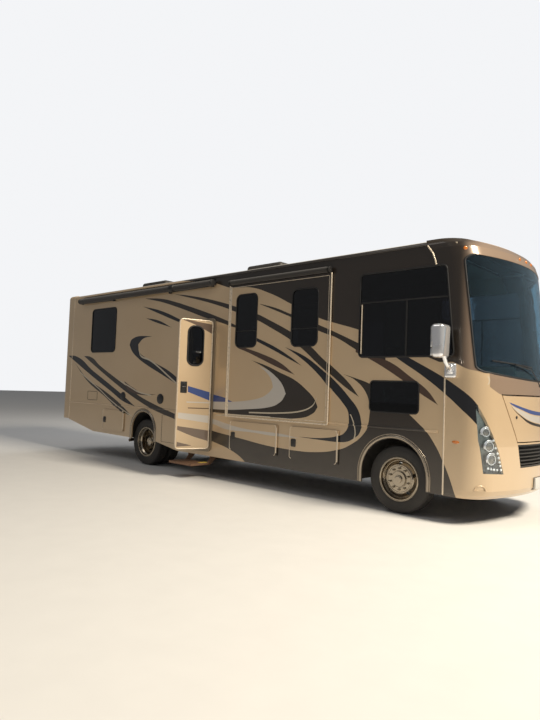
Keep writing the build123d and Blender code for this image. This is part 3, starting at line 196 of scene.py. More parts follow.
# Sweeps: colour, upper line, lower line
SWEEPS = (
    (ESPRESSO,
     ((-5.92, 3.397), (-5.376, 3.345), (-4.898, 3.24), (-4.55, 3.145), (-4.1, 3.015), (-3.655, 2.876),
      (-3.3, 2.75), (-3.0, 2.62)),
     ((-5.92, 3.39), (-5.371, 3.278), (-4.893, 3.15), (-4.52, 3.04), (-4.1, 2.91), (-3.655, 2.79),
      (-3.3, 2.69), (-3.0, 2.62))),
    (ESPRESSO,
     ((-4.99, 3.408), (-4.59, 3.35), (-4.118, 3.262), (-3.672, 3.16), (-3.284, 3.055), (-2.658, 2.864),
      (-2.385, 2.75), (-1.906, 2.53), (-1.514, 2.3), (-1.286, 2.12), (-1.057, 1.953), (-0.799, 1.75),
      (-0.619, 1.553)),
     ((-4.99, 3.408), (-4.54, 3.305), (-4.114, 3.205), (-3.667, 3.085), (-3.278, 2.965), (-2.652, 2.758),
      (-2.379, 2.635), (-1.901, 2.4), (-1.643, 2.24), (-1.38, 2.044), (-1.146, 1.878), (-0.867, 1.691),
      (-0.619, 1.553))),
    (NIGHT,
     ((-6.01, 3.235), (-5.45, 3.121), (-4.84, 2.924), (-4.3, 2.7)),
     ((-6.01, 3.235), (-5.45, 3.053), (-4.84, 2.859), (-4.3, 2.7))),
    (NIGHT,
     ((-5.89, 2.985), (-5.52, 2.93), (-5.01, 2.75)),
     ((-5.89, 2.985), (-5.52, 2.875), (-5.01, 2.75))),
    (ESPRESSO,
     ((-2.627, 3.04), (-2.307, 2.959), (-1.924, 2.821), (-1.345, 2.617), (-1.078, 2.507), (-0.645, 2.323),
      (-0.2, 2.12)),
     ((-2.627, 3.034), (-2.305, 2.918), (-1.922, 2.773), (-1.341, 2.525), (-1.075, 2.432), (-0.641, 2.207),
      (-0.2, 2.0))),
    (NIGHT,
     ((-2.667, 2.469), (-2.276, 2.317), (-1.946, 2.158), (-1.673, 1.998)),
     ((-2.664, 2.41), (-2.272, 2.251), (-1.944, 2.11), (-1.673, 1.998))),
    (BROWN,
     ((-3.1, 2.36), (-2.894, 2.297), (-2.562, 2.206), (-2.155, 2.063), (-1.808, 1.856)),
     ((-3.1, 2.3), (-2.891, 2.237), (-2.557, 2.115), (-2.15, 1.966), (-1.808, 1.856))),
    (BROWN,
     ((-0.7, 2.24), (-0.4, 2.14), (-0.159, 2.067), (0.215, 1.837), (0.436, 1.683), (0.595, 1.494)),
     ((-0.7, 2.2), (-0.402, 2.069), (0.111, 1.782), (0.352, 1.628), (0.595, 1.494))),
    (NIGHT,
     ((-0.1, 2.24), (0.253, 2.065), (0.656, 1.856), (0.82, 1.757), (1.019, 1.613), (1.104, 1.51)),
     ((-0.1, 2.16), (0.043, 2.066), (0.331, 1.892), (0.674, 1.651), (0.892, 1.47), (1.024, 1.353),
      (1.104, 1.262))),
    (NIGHT,
     ((-8.98, 2.25), (-8.683, 2.243), (-7.809, 1.881), (-7.064, 1.578), (-6.528, 1.349), (-6.125, 1.16)),
     ((-8.98, 2.25), (-8.67, 2.115), (-7.795, 1.744), (-7.052, 1.447), (-6.518, 1.236), (-6.125, 1.16))),
    (ESPRESSO,
     ((-8.254, 2.23), (-8.016, 2.219), (-7.538, 2.003), (-6.975, 1.77), (-6.447, 1.564), (-5.948, 1.37),
      (-5.481, 1.239), (-4.745, 1.068), (-4.4, 0.985)),
     ((-8.254, 2.23), (-7.528, 1.898), (-6.965, 1.653), (-6.436, 1.437), (-5.939, 1.26), (-5.472, 1.12),
      (-4.738, 0.966), (-4.4, 0.885))),
    (ESPRESSO,
     ((-8.66, 2.07), (-8.022, 1.695), (-7.321, 1.454), (-6.665, 1.187), (-6.22, 0.95)),
     ((-8.66, 2.07), (-8.016, 1.634), (-7.31, 1.336), (-6.653, 1.045), (-6.22, 0.95))),
    (BROWN,
     ((-6.556, 1.675), (-6.25, 1.555), (-5.767, 1.43), (-5.407, 1.429)),
     ((-6.556, 1.675), (-6.34, 1.468), (-5.765, 1.403), (-5.407, 1.429))),
    (SILVER,
     ((-4.72, 1.08), (-4.43, 1.12), (-3.706, 1.049), (-3.237, 0.975), (-2.773, 0.931), (-2.186, 0.918),
      (-1.684, 0.88)),
     ((-4.72, 1.08), (-4.43, 1.02), (-3.701, 0.961), (-3.232, 0.889), (-2.771, 0.89), (-2.184, 0.87),
      (-1.684, 0.88))),
    (RIBBON_BLUE,
     ((-4.7, 1.56), (-4.4, 1.6), (-4.1, 1.56), (-3.697, 1.483), (-3.437, 1.443), (-3.221, 1.385),
      (-2.95, 1.31)),
     ((-4.7, 1.56), (-4.4, 1.46), (-4.1, 1.42), (-3.689, 1.353), (-3.358, 1.323), (-3.1, 1.3),
      (-2.95, 1.29))),
)

# Fine cream stripes: width, and the line that each follows; one more stands upright, drawn as (height, along)
PINSTRIPES = (
    (0.034,
     ((-6.09, 2.36), (-6.005, 2.212), (-5.683, 2.117), (-5.391, 1.985), (-5.062, 1.807), (-4.789, 1.665),
      (-4.62, 1.59))),
    (0.026,
     ((-6.706, 1.677), (-6.329, 1.557), (-6.019, 1.463), (-5.58, 1.406))),
    (0.024,
     ((-8.4, 1.86), (-8.025, 1.693), (-7.525, 1.481), (-7.107, 1.277), (-6.655, 1.101), (-6.227, 0.955))),
    (0.022,
     ((-2.788, 1.215), (-2.116, 1.243), (-1.702, 1.289), (-1.468, 1.37), (-1.358, 1.512))),
    (0.02,
     ((-3.637, 1.123), (-3.312, 1.142), (-2.785, 1.16), (-2.3, 1.165))),
)
UPRIGHT_STRIPE = ((0.925, -0.703), (0.966, -0.679), (1.03, -0.668), (1.098, -0.676), (1.165, -0.694),
                  (1.232, -0.722), (1.299, -0.76))
UPRIGHT_WIDTH = 0.018

# Hooks: a colour lies between an outer and an inner outline, each of an upper and a lower line
HOOKS = (
    (ESPRESSO,
     ((-2.774, 2.094), (-2.431, 2.003), (-2.131, 1.895), (-1.817, 1.781), (-1.567, 1.63), (-1.405, 1.492),
      (-1.338, 1.373)),
     ((-4.72, 1.262), (-4.43, 1.2), (-3.344, 1.165), (-2.539, 1.15), (-2.096, 1.155), (-1.709, 1.185),
      (-1.447, 1.262), (-1.338, 1.373)),
     ((-2.774, 2.094), (-2.49, 1.981), (-2.245, 1.85), (-2.066, 1.7), (-1.984, 1.555)),
     ((-4.72, 1.262), (-4.43, 1.235), (-3.7, 1.226), (-2.7, 1.279), (-2.337, 1.325), (-2.108, 1.411),
      (-1.984, 1.555))),
    (SILVER,
     ((-2.582, 1.992), (-2.4, 1.935), (-2.245, 1.85), (-2.066, 1.7), (-1.984, 1.555)),
     ((-4.72, 1.262), (-4.43, 1.235), (-3.7, 1.226), (-2.7, 1.279), (-2.337, 1.325), (-2.108, 1.411),
      (-1.984, 1.555)),
     ((-2.582, 1.992), (-2.394, 1.871), (-2.3, 1.76), (-2.262, 1.65)),
     ((-4.72, 1.262), (-4.43, 1.34), (-3.706, 1.36), (-3.256, 1.374), (-2.896, 1.405), (-2.585, 1.457),
      (-2.378, 1.542), (-2.262, 1.65))),
    (NIGHT,
     ((-2.037, 2.303), (-1.619, 2.146), (-1.319, 1.968), (-1.05, 1.775), (-0.792, 1.547), (-0.619, 1.353),
      (-0.554, 1.137)),
     ((-1.7, 0.9), (-1.526, 0.893), (-0.962, 0.882), (-0.65, 0.981), (-0.554, 1.137)),
     ((-2.037, 2.303), (-1.677, 2.107), (-1.373, 1.891), (-1.1, 1.64), (-0.913, 1.47), (-0.8, 1.33),
      (-0.78, 1.159)),
     ((-1.7, 0.9), (-1.296, 0.913), (-0.946, 0.975), (-0.835, 1.046), (-0.78, 1.159))),
    (NIGHT,
     ((-6.423, 2.45), (-6.335, 2.568), (-6.05, 2.62), (-5.632, 2.6)),
     ((-6.423, 2.44), (-6.312, 2.299), (-6.058, 2.142), (-5.768, 2.016), (-5.263, 1.83), (-4.744, 1.64),
      (-4.43, 1.54)),
     ((-6.107, 2.45), (-5.905, 2.574), (-5.632, 2.6)),
     ((-6.107, 2.44), (-6.071, 2.295), (-5.826, 2.167), (-5.454, 2.043), (-5.098, 1.924), (-4.757, 1.76),
      (-4.43, 1.54))),
)

# The dark field round the front arch: its upper edge, the pale bay that is cut from it, and its foot
FIELD_TOP = ((-0.91, 1.88), (-0.697, 1.825), (-0.44, 1.743), (0.05, 1.45), (0.213, 1.33), (0.348, 1.22),
             (0.421, 1.16), (0.566, 0.978), (0.681, 0.773), (0.78, 0.559), (0.85, 0.357), (0.95, 0.0))
FIELD_BAY_TOP = ((-2.6, 2.55), (-0.91, 1.88), (-0.696, 1.796), (-0.485, 1.587), (-0.429, 1.377))
FIELD_BAY_LOW = ((-4.43, 0.99), (-4.1, 0.915), (-3.693, 0.837), (-3.003, 0.77), (-2.197, 0.693),
                 (-1.675, 0.681), (-1.287, 0.704), (-0.976, 0.764), (-0.75, 0.858), (-0.501, 1.063),
                 (-0.455, 1.165), (-0.429, 1.377))
FIELD_FOOT = ((-4.43, 0.89), (-4.06, 0.735), (-3.61, 0.635), (-3.278, 0.562), (-2.925, 0.419), (-2.7, 0.2))

# Bands of the nose, by distance from the centreline: the mocha field over the hatch, and a plain wing on it
PILLAR_FOOT = ((0.5, 2.13), (0.7, 2.085), (0.839, 2.026), (0.993, 1.958), (1.1, 1.935))
COWL_LINE = ((0.0, 1.64), (0.77, 1.64), (0.93, 1.649), (1.04, 1.687), (1.177, 1.789), (1.25, 1.88),
             (1.283, 1.93))
NOSE_START = 0.60
CROWN_LIGHT_FADE = (0.84, 1.04)
PILLAR_Y = 1.135
# A fine upright crescent near each corner, by (height, distance from the centreline)
CRESCENT_WIDTH = 0.014
CRESCENT = ((1.775, 1.155), (1.80, 1.1438), (1.825, 1.140), (1.85, 1.1438), (1.875, 1.155))
WING_BLUE = (
    ((0.0, 1.44), (0.246, 1.458), (0.485, 1.492), (0.682, 1.532), (0.822, 1.564)),
    ((0.0, 1.39), (0.309, 1.415), (0.536, 1.464), (0.769, 1.53), (0.822, 1.564)),
)
WING_SILVER = (
    ((0.0, 1.378), (0.309, 1.403), (0.536, 1.452), (0.76, 1.518), (0.8, 1.55)),
    ((0.0, 1.28), (0.367, 1.335), (0.559, 1.4), (0.725, 1.485), (0.8, 1.55)),
)
WING_SHADE = (
    ((0.0, 1.27), (0.367, 1.325), (0.559, 1.39), (0.725, 1.475), (0.801, 1.545)),
    ((0.0, 1.235), (0.367, 1.29), (0.559, 1.37), (0.725, 1.466), (0.801, 1.545)),
)
HATCH_START = 1.10
WING_HALF = 0.83

# The paint lies on the outer skin and on the caps, and the cabin's side of the walls is cream
SKIN_DEPTH = (0.030, 0.026)
CAP_ENDS = (-8.95, 0.80)
ROOF_EDGE_Z = 3.606


def new_group(name, inputs, outputs):
    """An empty node group with named sockets, each of a kind."""
    group = bpy.data.node_groups.new(name, "ShaderNodeTree")
    for way, sockets in (("INPUT", inputs), ("OUTPUT", outputs)):
        for label, kind in sockets.items():
            group.interface.new_socket(label, in_out=way, socket_type=f"NodeSocket{kind}")
    return group, group.nodes.new("NodeGroupInput").outputs, group.nodes.new("NodeGroupOutput").inputs


def over(tree, value, edge):
    return reckon(tree, "GREATER_THAN", value, edge)


def under(tree, value, edge):
    return reckon(tree, "LESS_THAN", value, edge)


def both(tree, *masks):
    """1 where every mask is 1."""
    met = masks[0]
    for mask in masks[1:]:
        met = reckon(tree, "MULTIPLY", met, mask)
    return met


def outside_of(tree, mask):
    return reckon(tree, "SUBTRACT", 1.0, mask)


def curve_line(tree, along, points):
    """The height of a drawn line over its run, level beyond both ends."""
    first, last = points[0][0], points[-1][0]
    heights = [height for start, height in points]
    low = min(heights)
    spread = max(max(heights) - low, 1e-4)
    drawn = add_node(tree, "ShaderNodeFloatCurve", {"Value": ramp(tree, along, first, last)})
    # A new curve comes with two points
    curve = drawn.mapping.curves[0]
    for index, (start, height) in enumerate(points):
        spot = ((start - first) / (last - first), (height - low) / spread)
        if index < 2:
            curve.points[index].location = spot
        else:
            curve.points.new(*spot)
    for point in curve.points:
        point.handle_type = "AUTO_CLAMPED"
    drawn.mapping.update()
    return ramp(tree, drawn.outputs["Value"], 0.0, 1.0, low, low + spread)


def between_lines(tree, along, height, top, low):
    """1 between two drawn lines, and 0 outside them and beyond their ends."""
    return both(tree, under(tree, height, curve_line(tree, along, top)),
                over(tree, height, curve_line(tree, along, low)),
                over(tree, along, min(top[0][0], low[0][0])), under(tree, along, max(top[-1][0], low[-1][0])))


def stripe(tree, along, height, line, width):
    """1 on a stripe that follows a drawn line, and 0 beyond its ends."""
    off = reckon(tree, "ABSOLUTE", reckon(tree, "SUBTRACT", height, curve_line(tree, along, line)))
    return both(tree, under(tree, off, width / 2), over(tree, along, line[0][0]),
                under(tree, along, line[-1][0]))


livery, livery_in, livery_out = new_group("coach_livery", {"Vector": "Vector"}, {"Color": "Color"})
drawn_at = add_node(livery, "ShaderNodeVectorMath", {0: livery_in["Vector"], 1: DRAWING},
                    operation="SUBTRACT").outputs["Vector"]
axes = add_node(livery, "ShaderNodeSeparateXYZ", {"Vector": drawn_at}).outputs
along, height = axes["X"], axes["Z"]
sideways = reckon(livery, "ABSOLUTE", axes["Y"])
drift = add_node(livery, "ShaderNodeTexNoise", {"Vector": drawn_at, "Scale": 0.9, "Detail": 3}).outputs["Fac"]
paint = blend_colour(livery, drift, CHAMPAGNE, CHAMPAGNE_PALE)

reached = reckon(livery, "MAXIMUM", over(livery, along, FIELD_TOP[0][0]),
                 under(livery, height, curve_line(livery, along, FIELD_BAY_LOW)))
field = both(livery, under(livery, height, curve_line(livery, along, FIELD_TOP)),
             outside_of(livery, between_lines(livery, along, height, FIELD_BAY_TOP, FIELD_BAY_LOW)))
field = reckon(livery, "MINIMUM", field, reached)
field = both(livery, field, over(livery, along, FIELD_FOOT[0][0]),
             over(livery, height, curve_line(livery, along, FIELD_FOOT)))
paint = blend_colour(livery, field, paint, ESPRESSO)
roof_field = both(livery, over(livery, height, curve_line(livery, along, ROOF_FIELD)),
                  over(livery, along, ROOF_FIELD[0][0]))
paint = blend_colour(livery, roof_field, paint, ESPRESSO)

for colour, top, low in SWEEPS:
    paint = blend_colour(livery, between_lines(livery, along, height, top, low), paint, colour)
for colour, top, low, inner_top, inner_low in HOOKS:
    outer = between_lines(livery, along, height, top, low)
    inner = between_lines(livery, along, height, inner_top, inner_low)
    paint = blend_colour(livery, both(livery, outer, outside_of(livery, inner)), paint, colour)
for width, line in PINSTRIPES:
    paint = blend_colour(livery, stripe(livery, along, height, line, width), paint, PINSTRIPE)
paint = blend_colour(livery, stripe(livery, height, along, UPRIGHT_STRIPE, UPRIGHT_WIDTH), paint, PINSTRIPE)

# Above the cowl line the nose is mocha, fading to espresso along the roof behind the pillar
shoulder = both(livery, under(livery, height, curve_line(livery, along, PILLAR_FOOT)),
                over(livery, sideways, PILLAR_Y))
on_nose = over(livery, along, NOSE_START)
cowl = both(livery, over(livery, height, curve_line(livery, sideways, COWL_LINE)),
            outside_of(livery, shoulder), on_nose)
# The fade is partly the two paints and partly painted light: the corner is painted lighter where it turns to
# the front.
corner_light_fade = ramp(livery, along, *CROWN_LIGHT_FADE, interpolation_type="SMOOTHSTEP")
paint = blend_colour(livery, cowl, paint, blend_colour(livery, corner_light_fade, ESPRESSO, MOCHA))
crescent = both(livery, stripe(livery, height, sideways, CRESCENT, CRESCENT_WIDTH), on_nose)
paint = blend_colour(livery, crescent, paint, PINSTRIPE)
on_hatch = both(livery, over(livery, along, HATCH_START), under(livery, sideways, WING_HALF))
for colour, (top, low) in ((RIBBON_BLUE, WING_BLUE), (SILVER, WING_SILVER), (ESPRESSO, WING_SHADE)):
    wing = both(livery, under(livery, height, curve_line(livery, sideways, top)),
                over(livery, height, curve_line(livery, sideways, low)), on_hatch)
    paint = blend_colour(livery, wing, paint, colour)

on_wall = ramp(livery, sideways, SIDE_Y - SKIN_DEPTH[0], SIDE_Y - SKIN_DEPTH[1])
on_caps = reckon(livery, "MAXIMUM", under(livery, along, CAP_ENDS[0]), over(livery, along, CAP_ENDS[1]))
on_caps = reckon(livery, "MAXIMUM", on_caps, over(livery, height, ROOF_EDGE_Z))
outside = reckon(livery, "MAXIMUM", on_wall, on_caps)
livery.links.new(blend_colour(livery, outside, CABIN_CREAM, paint), livery_out["Color"])

# Finish of any skin: fine ripple, uneven gloss, and road dust that thickens towards the ground
DUST = (0.36, 0.31, 0.25, 1)
DUSTY_FROM, DUSTY_TO = 1.1, 0.2
skin, skin_in, skin_out = new_group(
    "skin_finish",
    {"Vector": "Vector", "Color": "Color", "Scale": "Float", "Roughness": "Float", "Mottle": "Float",
     "Dust": "Float"},
    {"Color": "Color", "Roughness": "Float", "Height": "Float"},
)
grain = add_node(skin, "ShaderNodeTexNoise", {
    "Vector": skin_in["Vector"], "Scale": skin_in["Scale"], "Detail": 5,
}).outputs["Fac"]
patches = add_node(skin, "ShaderNodeTexNoise", {
    "Vector": skin_in["Vector"], "Scale": 2.3, "Detail": 6,
}).outputs["Fac"]
height = add_node(skin, "ShaderNodeSeparateXYZ", {"Vector": skin_in["Vector"]}).outputs["Z"]
dusty = both(skin, ramp(skin, height, DUSTY_FROM, DUSTY_TO), patches, skin_in["Dust"])
swing = reckon(skin, "MULTIPLY", reckon(skin, "SUBTRACT", grain, 0.5), skin_in["Mottle"])
tinted = add_node(skin, "ShaderNodeHueSaturation", {
    "Value": reckon(skin, "ADD", 1.0, reckon(skin, "MULTIPLY", swing, 2.0)), "Color": skin_in["Color"],
})
rough = reckon(skin, "ADD", skin_in["Roughness"], reckon(skin, "MULTIPLY", dusty, 0.6))
skin.links.new(blend_colour(skin, dusty, tinted.outputs["Color"], DUST), skin_out["Color"])
skin.links.new(reckon(skin, "ADD", rough, swing), skin_out["Roughness"])
skin.links.new(grain, skin_out["Height"])


def emboss(tree, shader, form, strength, distance):
    """Give a finish its relief."""
    relief = add_node(tree, "ShaderNodeBump", {"Height": form, "Strength": strength, "Distance": distance})
    tree.links.new(relief.outputs["Normal"], shader.inputs["Normal"])


def material_of(name, colour, roughness, scale, mottle, dust, bump, **sockets):
    """A finish with grain, uneven gloss, dust and relief, and its parts; sockets are set on the shader."""
    made = bpy.data.materials.new(name)
    made.use_nodes = True
    tree = made.node_tree
    shader = tree.nodes["Principled BSDF"]
    place = add_node(tree, "ShaderNodeTexCoord").outputs["Object"]
    worn = add_node(tree, "ShaderNodeGroup", node_tree=skin)
    tree.links.new(place, worn.inputs["Vector"])
    for label, value in (("Scale", scale), ("Roughness", roughness), ("Mottle", mottle), ("Dust", dust),
                         ("Color", (*colour[:3], 1))):
        worn.inputs[label].default_value = value
    tree.links.new(worn.outputs["Color"], shader.inputs["Base Color"])
    tree.links.new(worn.outputs["Roughness"], shader.inputs["Roughness"])
    emboss(tree, shader, worn.outputs["Height"], bump, 0.01)
    for label, value in sockets.items():
        shader.inputs[label.replace("_", " ")].default_value = value
    return made, tree, shader, worn, place


def finish_of(*look, **sockets):
    return material_of(*look, **sockets)[0]


LACQUER = 0.8
CHALKY_ROUGHNESS = 0.45


def coach_paint(name, dull_from, dull_to, top_colour=None):
    """The painted scheme under clear coat, which has gone dull and chalky where it faces the sky."""
    made, tree, shader, worn, place = material_of(
        name, CHAMPAGNE, 0.30, 160, 0.05, 0.14, 0.012, Metallic=0.25, Coat_Roughness=0.04,
    )
    colour = add_node(tree, "ShaderNodeGroup", {"Vector": place}, node_tree=livery).outputs["Color"]
    height = add_node(tree, "ShaderNodeSeparateXYZ", {"Vector": place}).outputs["Z"]
    on_top = ramp(tree, height, dull_from, dull_to)
    if top_colour:
        colour = blend_colour(tree, on_top, colour, top_colour)
    tree.links.new(colour, worn.inputs["Color"])
    lacquer = reckon(tree, "MULTIPLY", outside_of(tree, on_top), LACQUER)
    tree.links.new(lacquer, shader.inputs["Coat Weight"])
    chalk = reckon(tree, "MULTIPLY", on_top, CHALKY_ROUGHNESS)
    tree.links.new(reckon(tree, "ADD", worn.outputs["Roughness"], chalk), shader.inputs["Roughness"])
    return made


def dress(finish, *names):
    """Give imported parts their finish."""
    for name in names:
        nodes[name].data.materials.clear()
        nodes[name].data.materials.append(finish)


body_paint = coach_paint("body_paint", 3.610, 3.640)
dress(body_paint, "front_cap", "rear_cap", "front_hatch")
for side, word in SIDES:
    dress(body_paint, f"wall_{word}", f"skirt_{word}", f"slide_room_{word}", f"bay_door_{word}_front",
          f"bay_door_{word}_middle", f"bay_door_{word}_rear")

# Roof: a moulded fibreglass sheet, chalky off-white on top, with its rolled edge painted and lacquered as the
# walls. It lies over the rafters and is screwed down along the gutters.
ROOF_WHITE = (0.56, 0.54, 0.50, 1)
dress(coach_paint("roof_paint", 3.650, 3.654, ROOF_WHITE), "roof")


# Seam mouldings: bright extruded strips that cover the joints of caps and walls, and a painted half-round
# rail along the belt between wall and skirt. They are screwed on and stand a centimetre proud.
NOSE_SETBACK = ((0.345, 0.115), (0.39, 0.06), (0.45, 0.03), (1.0, 0.0), (1.85, 0.008), (3.44, 0.2),
                (3.55, 0.236), (3.61, 0.285))
NOSE_X = 1.455
NOSE_CROWN = 2.9
CORNER_RADIUS = 0.35


def nose_x(y, z):
    """How far forward the nose reaches at a place, from its crown and its round corners."""
    back = NOSE_SETBACK[-1][1]
    for (low, start), (high, end) in zip(NOSE_SETBACK, NOSE_SETBACK[1:]):
        if low <= z <= high:
            back = start + (end - start) * (z - low) / (high - low)
    middle = NOSE_X - back - NOSE_CROWN
    corner_y = SIDE_Y - CORNER_RADIUS
    corner_x = middle + math.sqrt((NOSE_CROWN - CORNER_RADIUS) ** 2 - corner_y ** 2)
    if abs(y) <= NOSE_CROWN * corner_y / (NOSE_CROWN - CORNER_RADIUS):
        return middle + math.sqrt(NOSE_CROWN ** 2 - y ** 2)
    reach = CORNER_RADIUS ** 2 - (abs(y) - corner_y) ** 2
    return corner_x + math.sqrt(max(reach, 0.0))


def beside(side, x, out, z):
    """A place beside the body, by how far it stands out from the wall."""
    return x, side * (SIDE_Y + out), z


def select_only(*pieces):
    bpy.ops.object.select_all(action="DESELECT")
    for piece in pieces:
        piece.select_set(True)
    bpy.context.view_layer.objects.active = pieces[0]


def gather(name, pieces):
    """Like pieces of one body become one."""
    select_only(*pieces)
    if len(pieces) > 1:
        bpy.ops.object.join()
    bpy.context.object.name = name
    return bpy.context.object


def settle(piece, body, finish, slot, *replaced):
    """Move a finished piece from the drawing to its place, with its finish, and let it ride."""
    select_only(piece)
    piece.location += DRAWING
    bpy.ops.object.transform_apply(location=True, rotation=True, scale=True)
    piece.data.materials.clear()
    piece.data.materials.append(finish)
    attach(piece, body)
    if replaced:
        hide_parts(*replaced)


def traced(name, path, radius=0.0, closed=False):
    """A path made a mesh, as a round strip where it has a radius."""
    line = bpy.data.curves.new(name, "CURVE")
    line.dimensions = "3D"
    line.bevel_depth = radius
    line.bevel_resolution = 2
    line.use_fill_caps = radius > 0
    run = line.splines.new("POLY")
    run.points.add(len(path) - 1)
    for point, spot in zip(run.points, path):
        point.co = (*spot, 1)
    run.use_cyclic_u = closed
    piece = bpy.data.objects.new(name, line)
    bpy.context.scene.collection.objects.link(piece)
    select_only(piece)
    bpy.ops.object.convert(target="MESH")
    return bpy.context.object


def face_out():
    """Turn the faces of the piece at hand outwards."""
    bpy.ops.object.mode_set(mode="EDIT")
    bpy.ops.mesh.select_all(action="SELECT")
    bpy.ops.mesh.normals_make_consistent(inside=False)
    bpy.ops.object.mode_set(mode="OBJECT")


def bead(name, path, radius, closed=False):
    """A round strip run along a path."""
    piece = traced(name, path, radius, closed)
    face_out()
    bpy.ops.object.shade_smooth()
    return piece


def shade(degrees=35):
    """Shade the piece at hand smooth, with its sharper edges kept."""
    bpy.ops.object.shade_smooth_by_angle(angle=math.radians(degrees))


BRIGHT_RADIUS, REAR_RADIUS = 0.011, 0.0088
RAIL_RADIUS = 0.016
RAIL_Z = 1.150
CAP_JOINTS = (((0.682, 0.36), (0.682, 1.844)), ((0.527, 3.335), (0.512, 3.40), (0.478, 3.49), (0.40, 3.60)))
REAR_JOINT = ((-8.80, 0.78), (-8.80, 3.60))
BELT_RUNS = (
    (RIGHT, -1.14, 0.60), (RIGHT, -3.70, -3.38), (RIGHT, -8.79, -4.50),
    (LEFT, -1.29, 0.60), (LEFT, -8.79, -5.41),
)
bright_strip = finish_of("bright_strip", (0.72, 0.62, 0.49), 0.28, 60, 0.08, 0.15, 0.02, Metallic=0.30)
rubber = finish_of("black_rubber", (0.008, 0.008, 0.009), 0.60, 180, 0.12, 0.15, 0.10)
strips = [bead("joint_strip", [beside(side, x, 0, z) for x, z in run], BRIGHT_RADIUS)
          for side in (RIGHT, LEFT) for run in CAP_JOINTS]
strips += [bead("rear_strip", [beside(side, x, 0, z) for x, z in REAR_JOINT], REAR_RADIUS)
           for side in (RIGHT, LEFT)]
settle(gather("joint_strips", strips), "chassis", bright_strip, "body_paint")
rails = [bead("belt_rail", [beside(side, start, 0, RAIL_Z), beside(side, end, 0, RAIL_Z)], RAIL_RADIUS)
         for side, start, end in BELT_RUNS]
settle(gather("belt_rails", rails), "chassis", body_paint, "body_paint")

# Roof rail: the extruded gutter along the roof's edge, sprayed with the wall. It is screwed down where wall
# and roof skins meet, and carries the rain to the corners.
GUTTER_X = (-8.78, 0.385)
GUTTER_Z = 3.612
GUTTER_PROUD = 0.004
GUTTER_RADIUS = 0.013
gutters = [bead("gutter", [beside(side, x, GUTTER_PROUD, GUTTER_Z) for x in GUTTER_X], GUTTER_RADIUS)
           for side in (RIGHT, LEFT)]
settle(gather("roof_gutters", gutters), "chassis", body_paint, "body_paint")

# Wheel arches: two rolled lips of satin metal follow each opening, the inner one wide and the outer a fine
# bead. They are riveted to the skirt from inside.
ARCHES = (
    # middle, radius, height of the middle, height of the front foot, of the rear foot
    (-0.048, 0.492, 0.515, 0.37, 0.37),
    (-5.815, 0.380, 0.685, 0.50, 0.50),
)
ARCH_LIPS = (
    # how far beyond the opening, radius, how far out from the side
    (0.028, 0.025, -0.006), (0.062, 0.008, 0.002),
)
ARCH_STEPS = 40


def arc(across, up, radius, start, end, steps=6):
    """Points on an arc between two angles in degrees, as (across, up)."""
    turns = [math.radians(start + (end - start) * step / steps) for step in range(steps + 1)]
    return [(across + radius * math.cos(turn), up + radius * math.sin(turn)) for turn in turns]


lips = []
for middle, radius, height, front_foot, rear_foot in ARCHES:
    for grow, thick, out in ARCH_LIPS:
        reach = radius + grow
        outline = [(middle + reach, front_foot), *arc(middle, height, reach, 0, 180, ARCH_STEPS),
                   (middle - reach, rear_foot)]
        lips += [bead("arch_lip", [beside(side, x, out, z) for x, z in outline], thick)
                 for side in (RIGHT, LEFT)]
arch_metal = finish_of("arch_metal", (0.36, 0.31, 0.25), 0.24, 90, 0.08, 0.30, 0.02, Metallic=0.8)
settle(gather("arch_lips", lips), "chassis", arch_metal, "body_paint")

# Compartment doors: each hangs on an extruded hinge with a bright edge, and closes with a flush black
# paddle latch in a rounded plate with a key barrel.
BAYS = (
    # name, front, rear, lower edge
    ("front", -0.960, -1.880, 0.548), ("middle", -2.160, -3.240, 0.556), ("rear", -6.500, -7.290, 0.610),
)
BAY_TOP = 1.050
BAY_PROUD = 0.026
HINGE_OUT, HINGE_INSET, HINGE_RADIUS = 0.004, 0.045, 0.008
RIM_INSET, RIM_CORNER, RIM_RADIUS = 0.008, 0.035, 0.0055
LATCH_INSET = 0.085
PLATE_WIDE, PLATE_TALL, PLATE_PROUD = 0.105, 0.128, (-0.030, 0.016)
PADDLE_WIDE, PADDLE_Z, PADDLE_PROUD = 0.068, (-0.042, 0.020), (0.010, 0.021)
BARREL_Z, BARREL_PROUD, BARREL_RADIUS = 0.043, 0.016, 0.012


def rounded(x_low, x_high, z_low, z_high, radius, y, steps=6):
    """Points round a window or lid with rounded corners, on a side at y."""
    points = []
    for corner_x, corner_z, start in (
            (x_high - radius, z_high - radius, 0), (x_low + radius, z_high - radius, 90),
            (x_low + radius, z_low + radius, 180), (x_high - radius, z_low + radius, 270)):
        points += [(x, y, z) for x, z in arc(corner_x, corner_z, radius, start, start + 90, steps)]
    return points


def soften(piece, width, segments=3):
    """Round the sharp edges of the piece at hand."""
    edges = piece.modifiers.new("edges", "BEVEL")
    edges.width = width
    edges.segments = segments
    edges.limit_method = "ANGLE"
    bpy.ops.object.modifier_apply(modifier=edges.name)


def block(name, low, high, edge=0.0, segments=3):
    """A cube shaped to lie between two corners, with its edges rounded."""
    bpy.ops.mesh.primitive_cube_add(size=1, location=[(a + b) / 2 for a, b in zip(low, high)])
    piece = bpy.context.object
    piece.name = name
    piece.scale = [abs(b - a) for a, b in zip(low, high)]
    bpy.ops.object.transform_apply(location=False, rotation=False, scale=True)
    if edge:
        soften(piece, edge, segments)
        shade()
    return piece


def disc(name, place, radius, depth, axis="Y", edge=0.0, corners=32):
    """A short cylinder lying along an axis, its rims rounded."""
    turn = {"X": (0, math.pi / 2, 0), "Y": (math.pi / 2, 0, 0), "Z": (0, 0, 0)}[axis]
    bpy.ops.mesh.primitive_cylinder_add(vertices=corners, radius=radius, depth=depth, location=place,
                                        rotation=turn)
    piece = bpy.context.object
    piece.name = name
    bpy.ops.object.transform_apply(location=False, rotation=True, scale=False)
    if edge:
        soften(piece, edge)
    shade()
    return piece


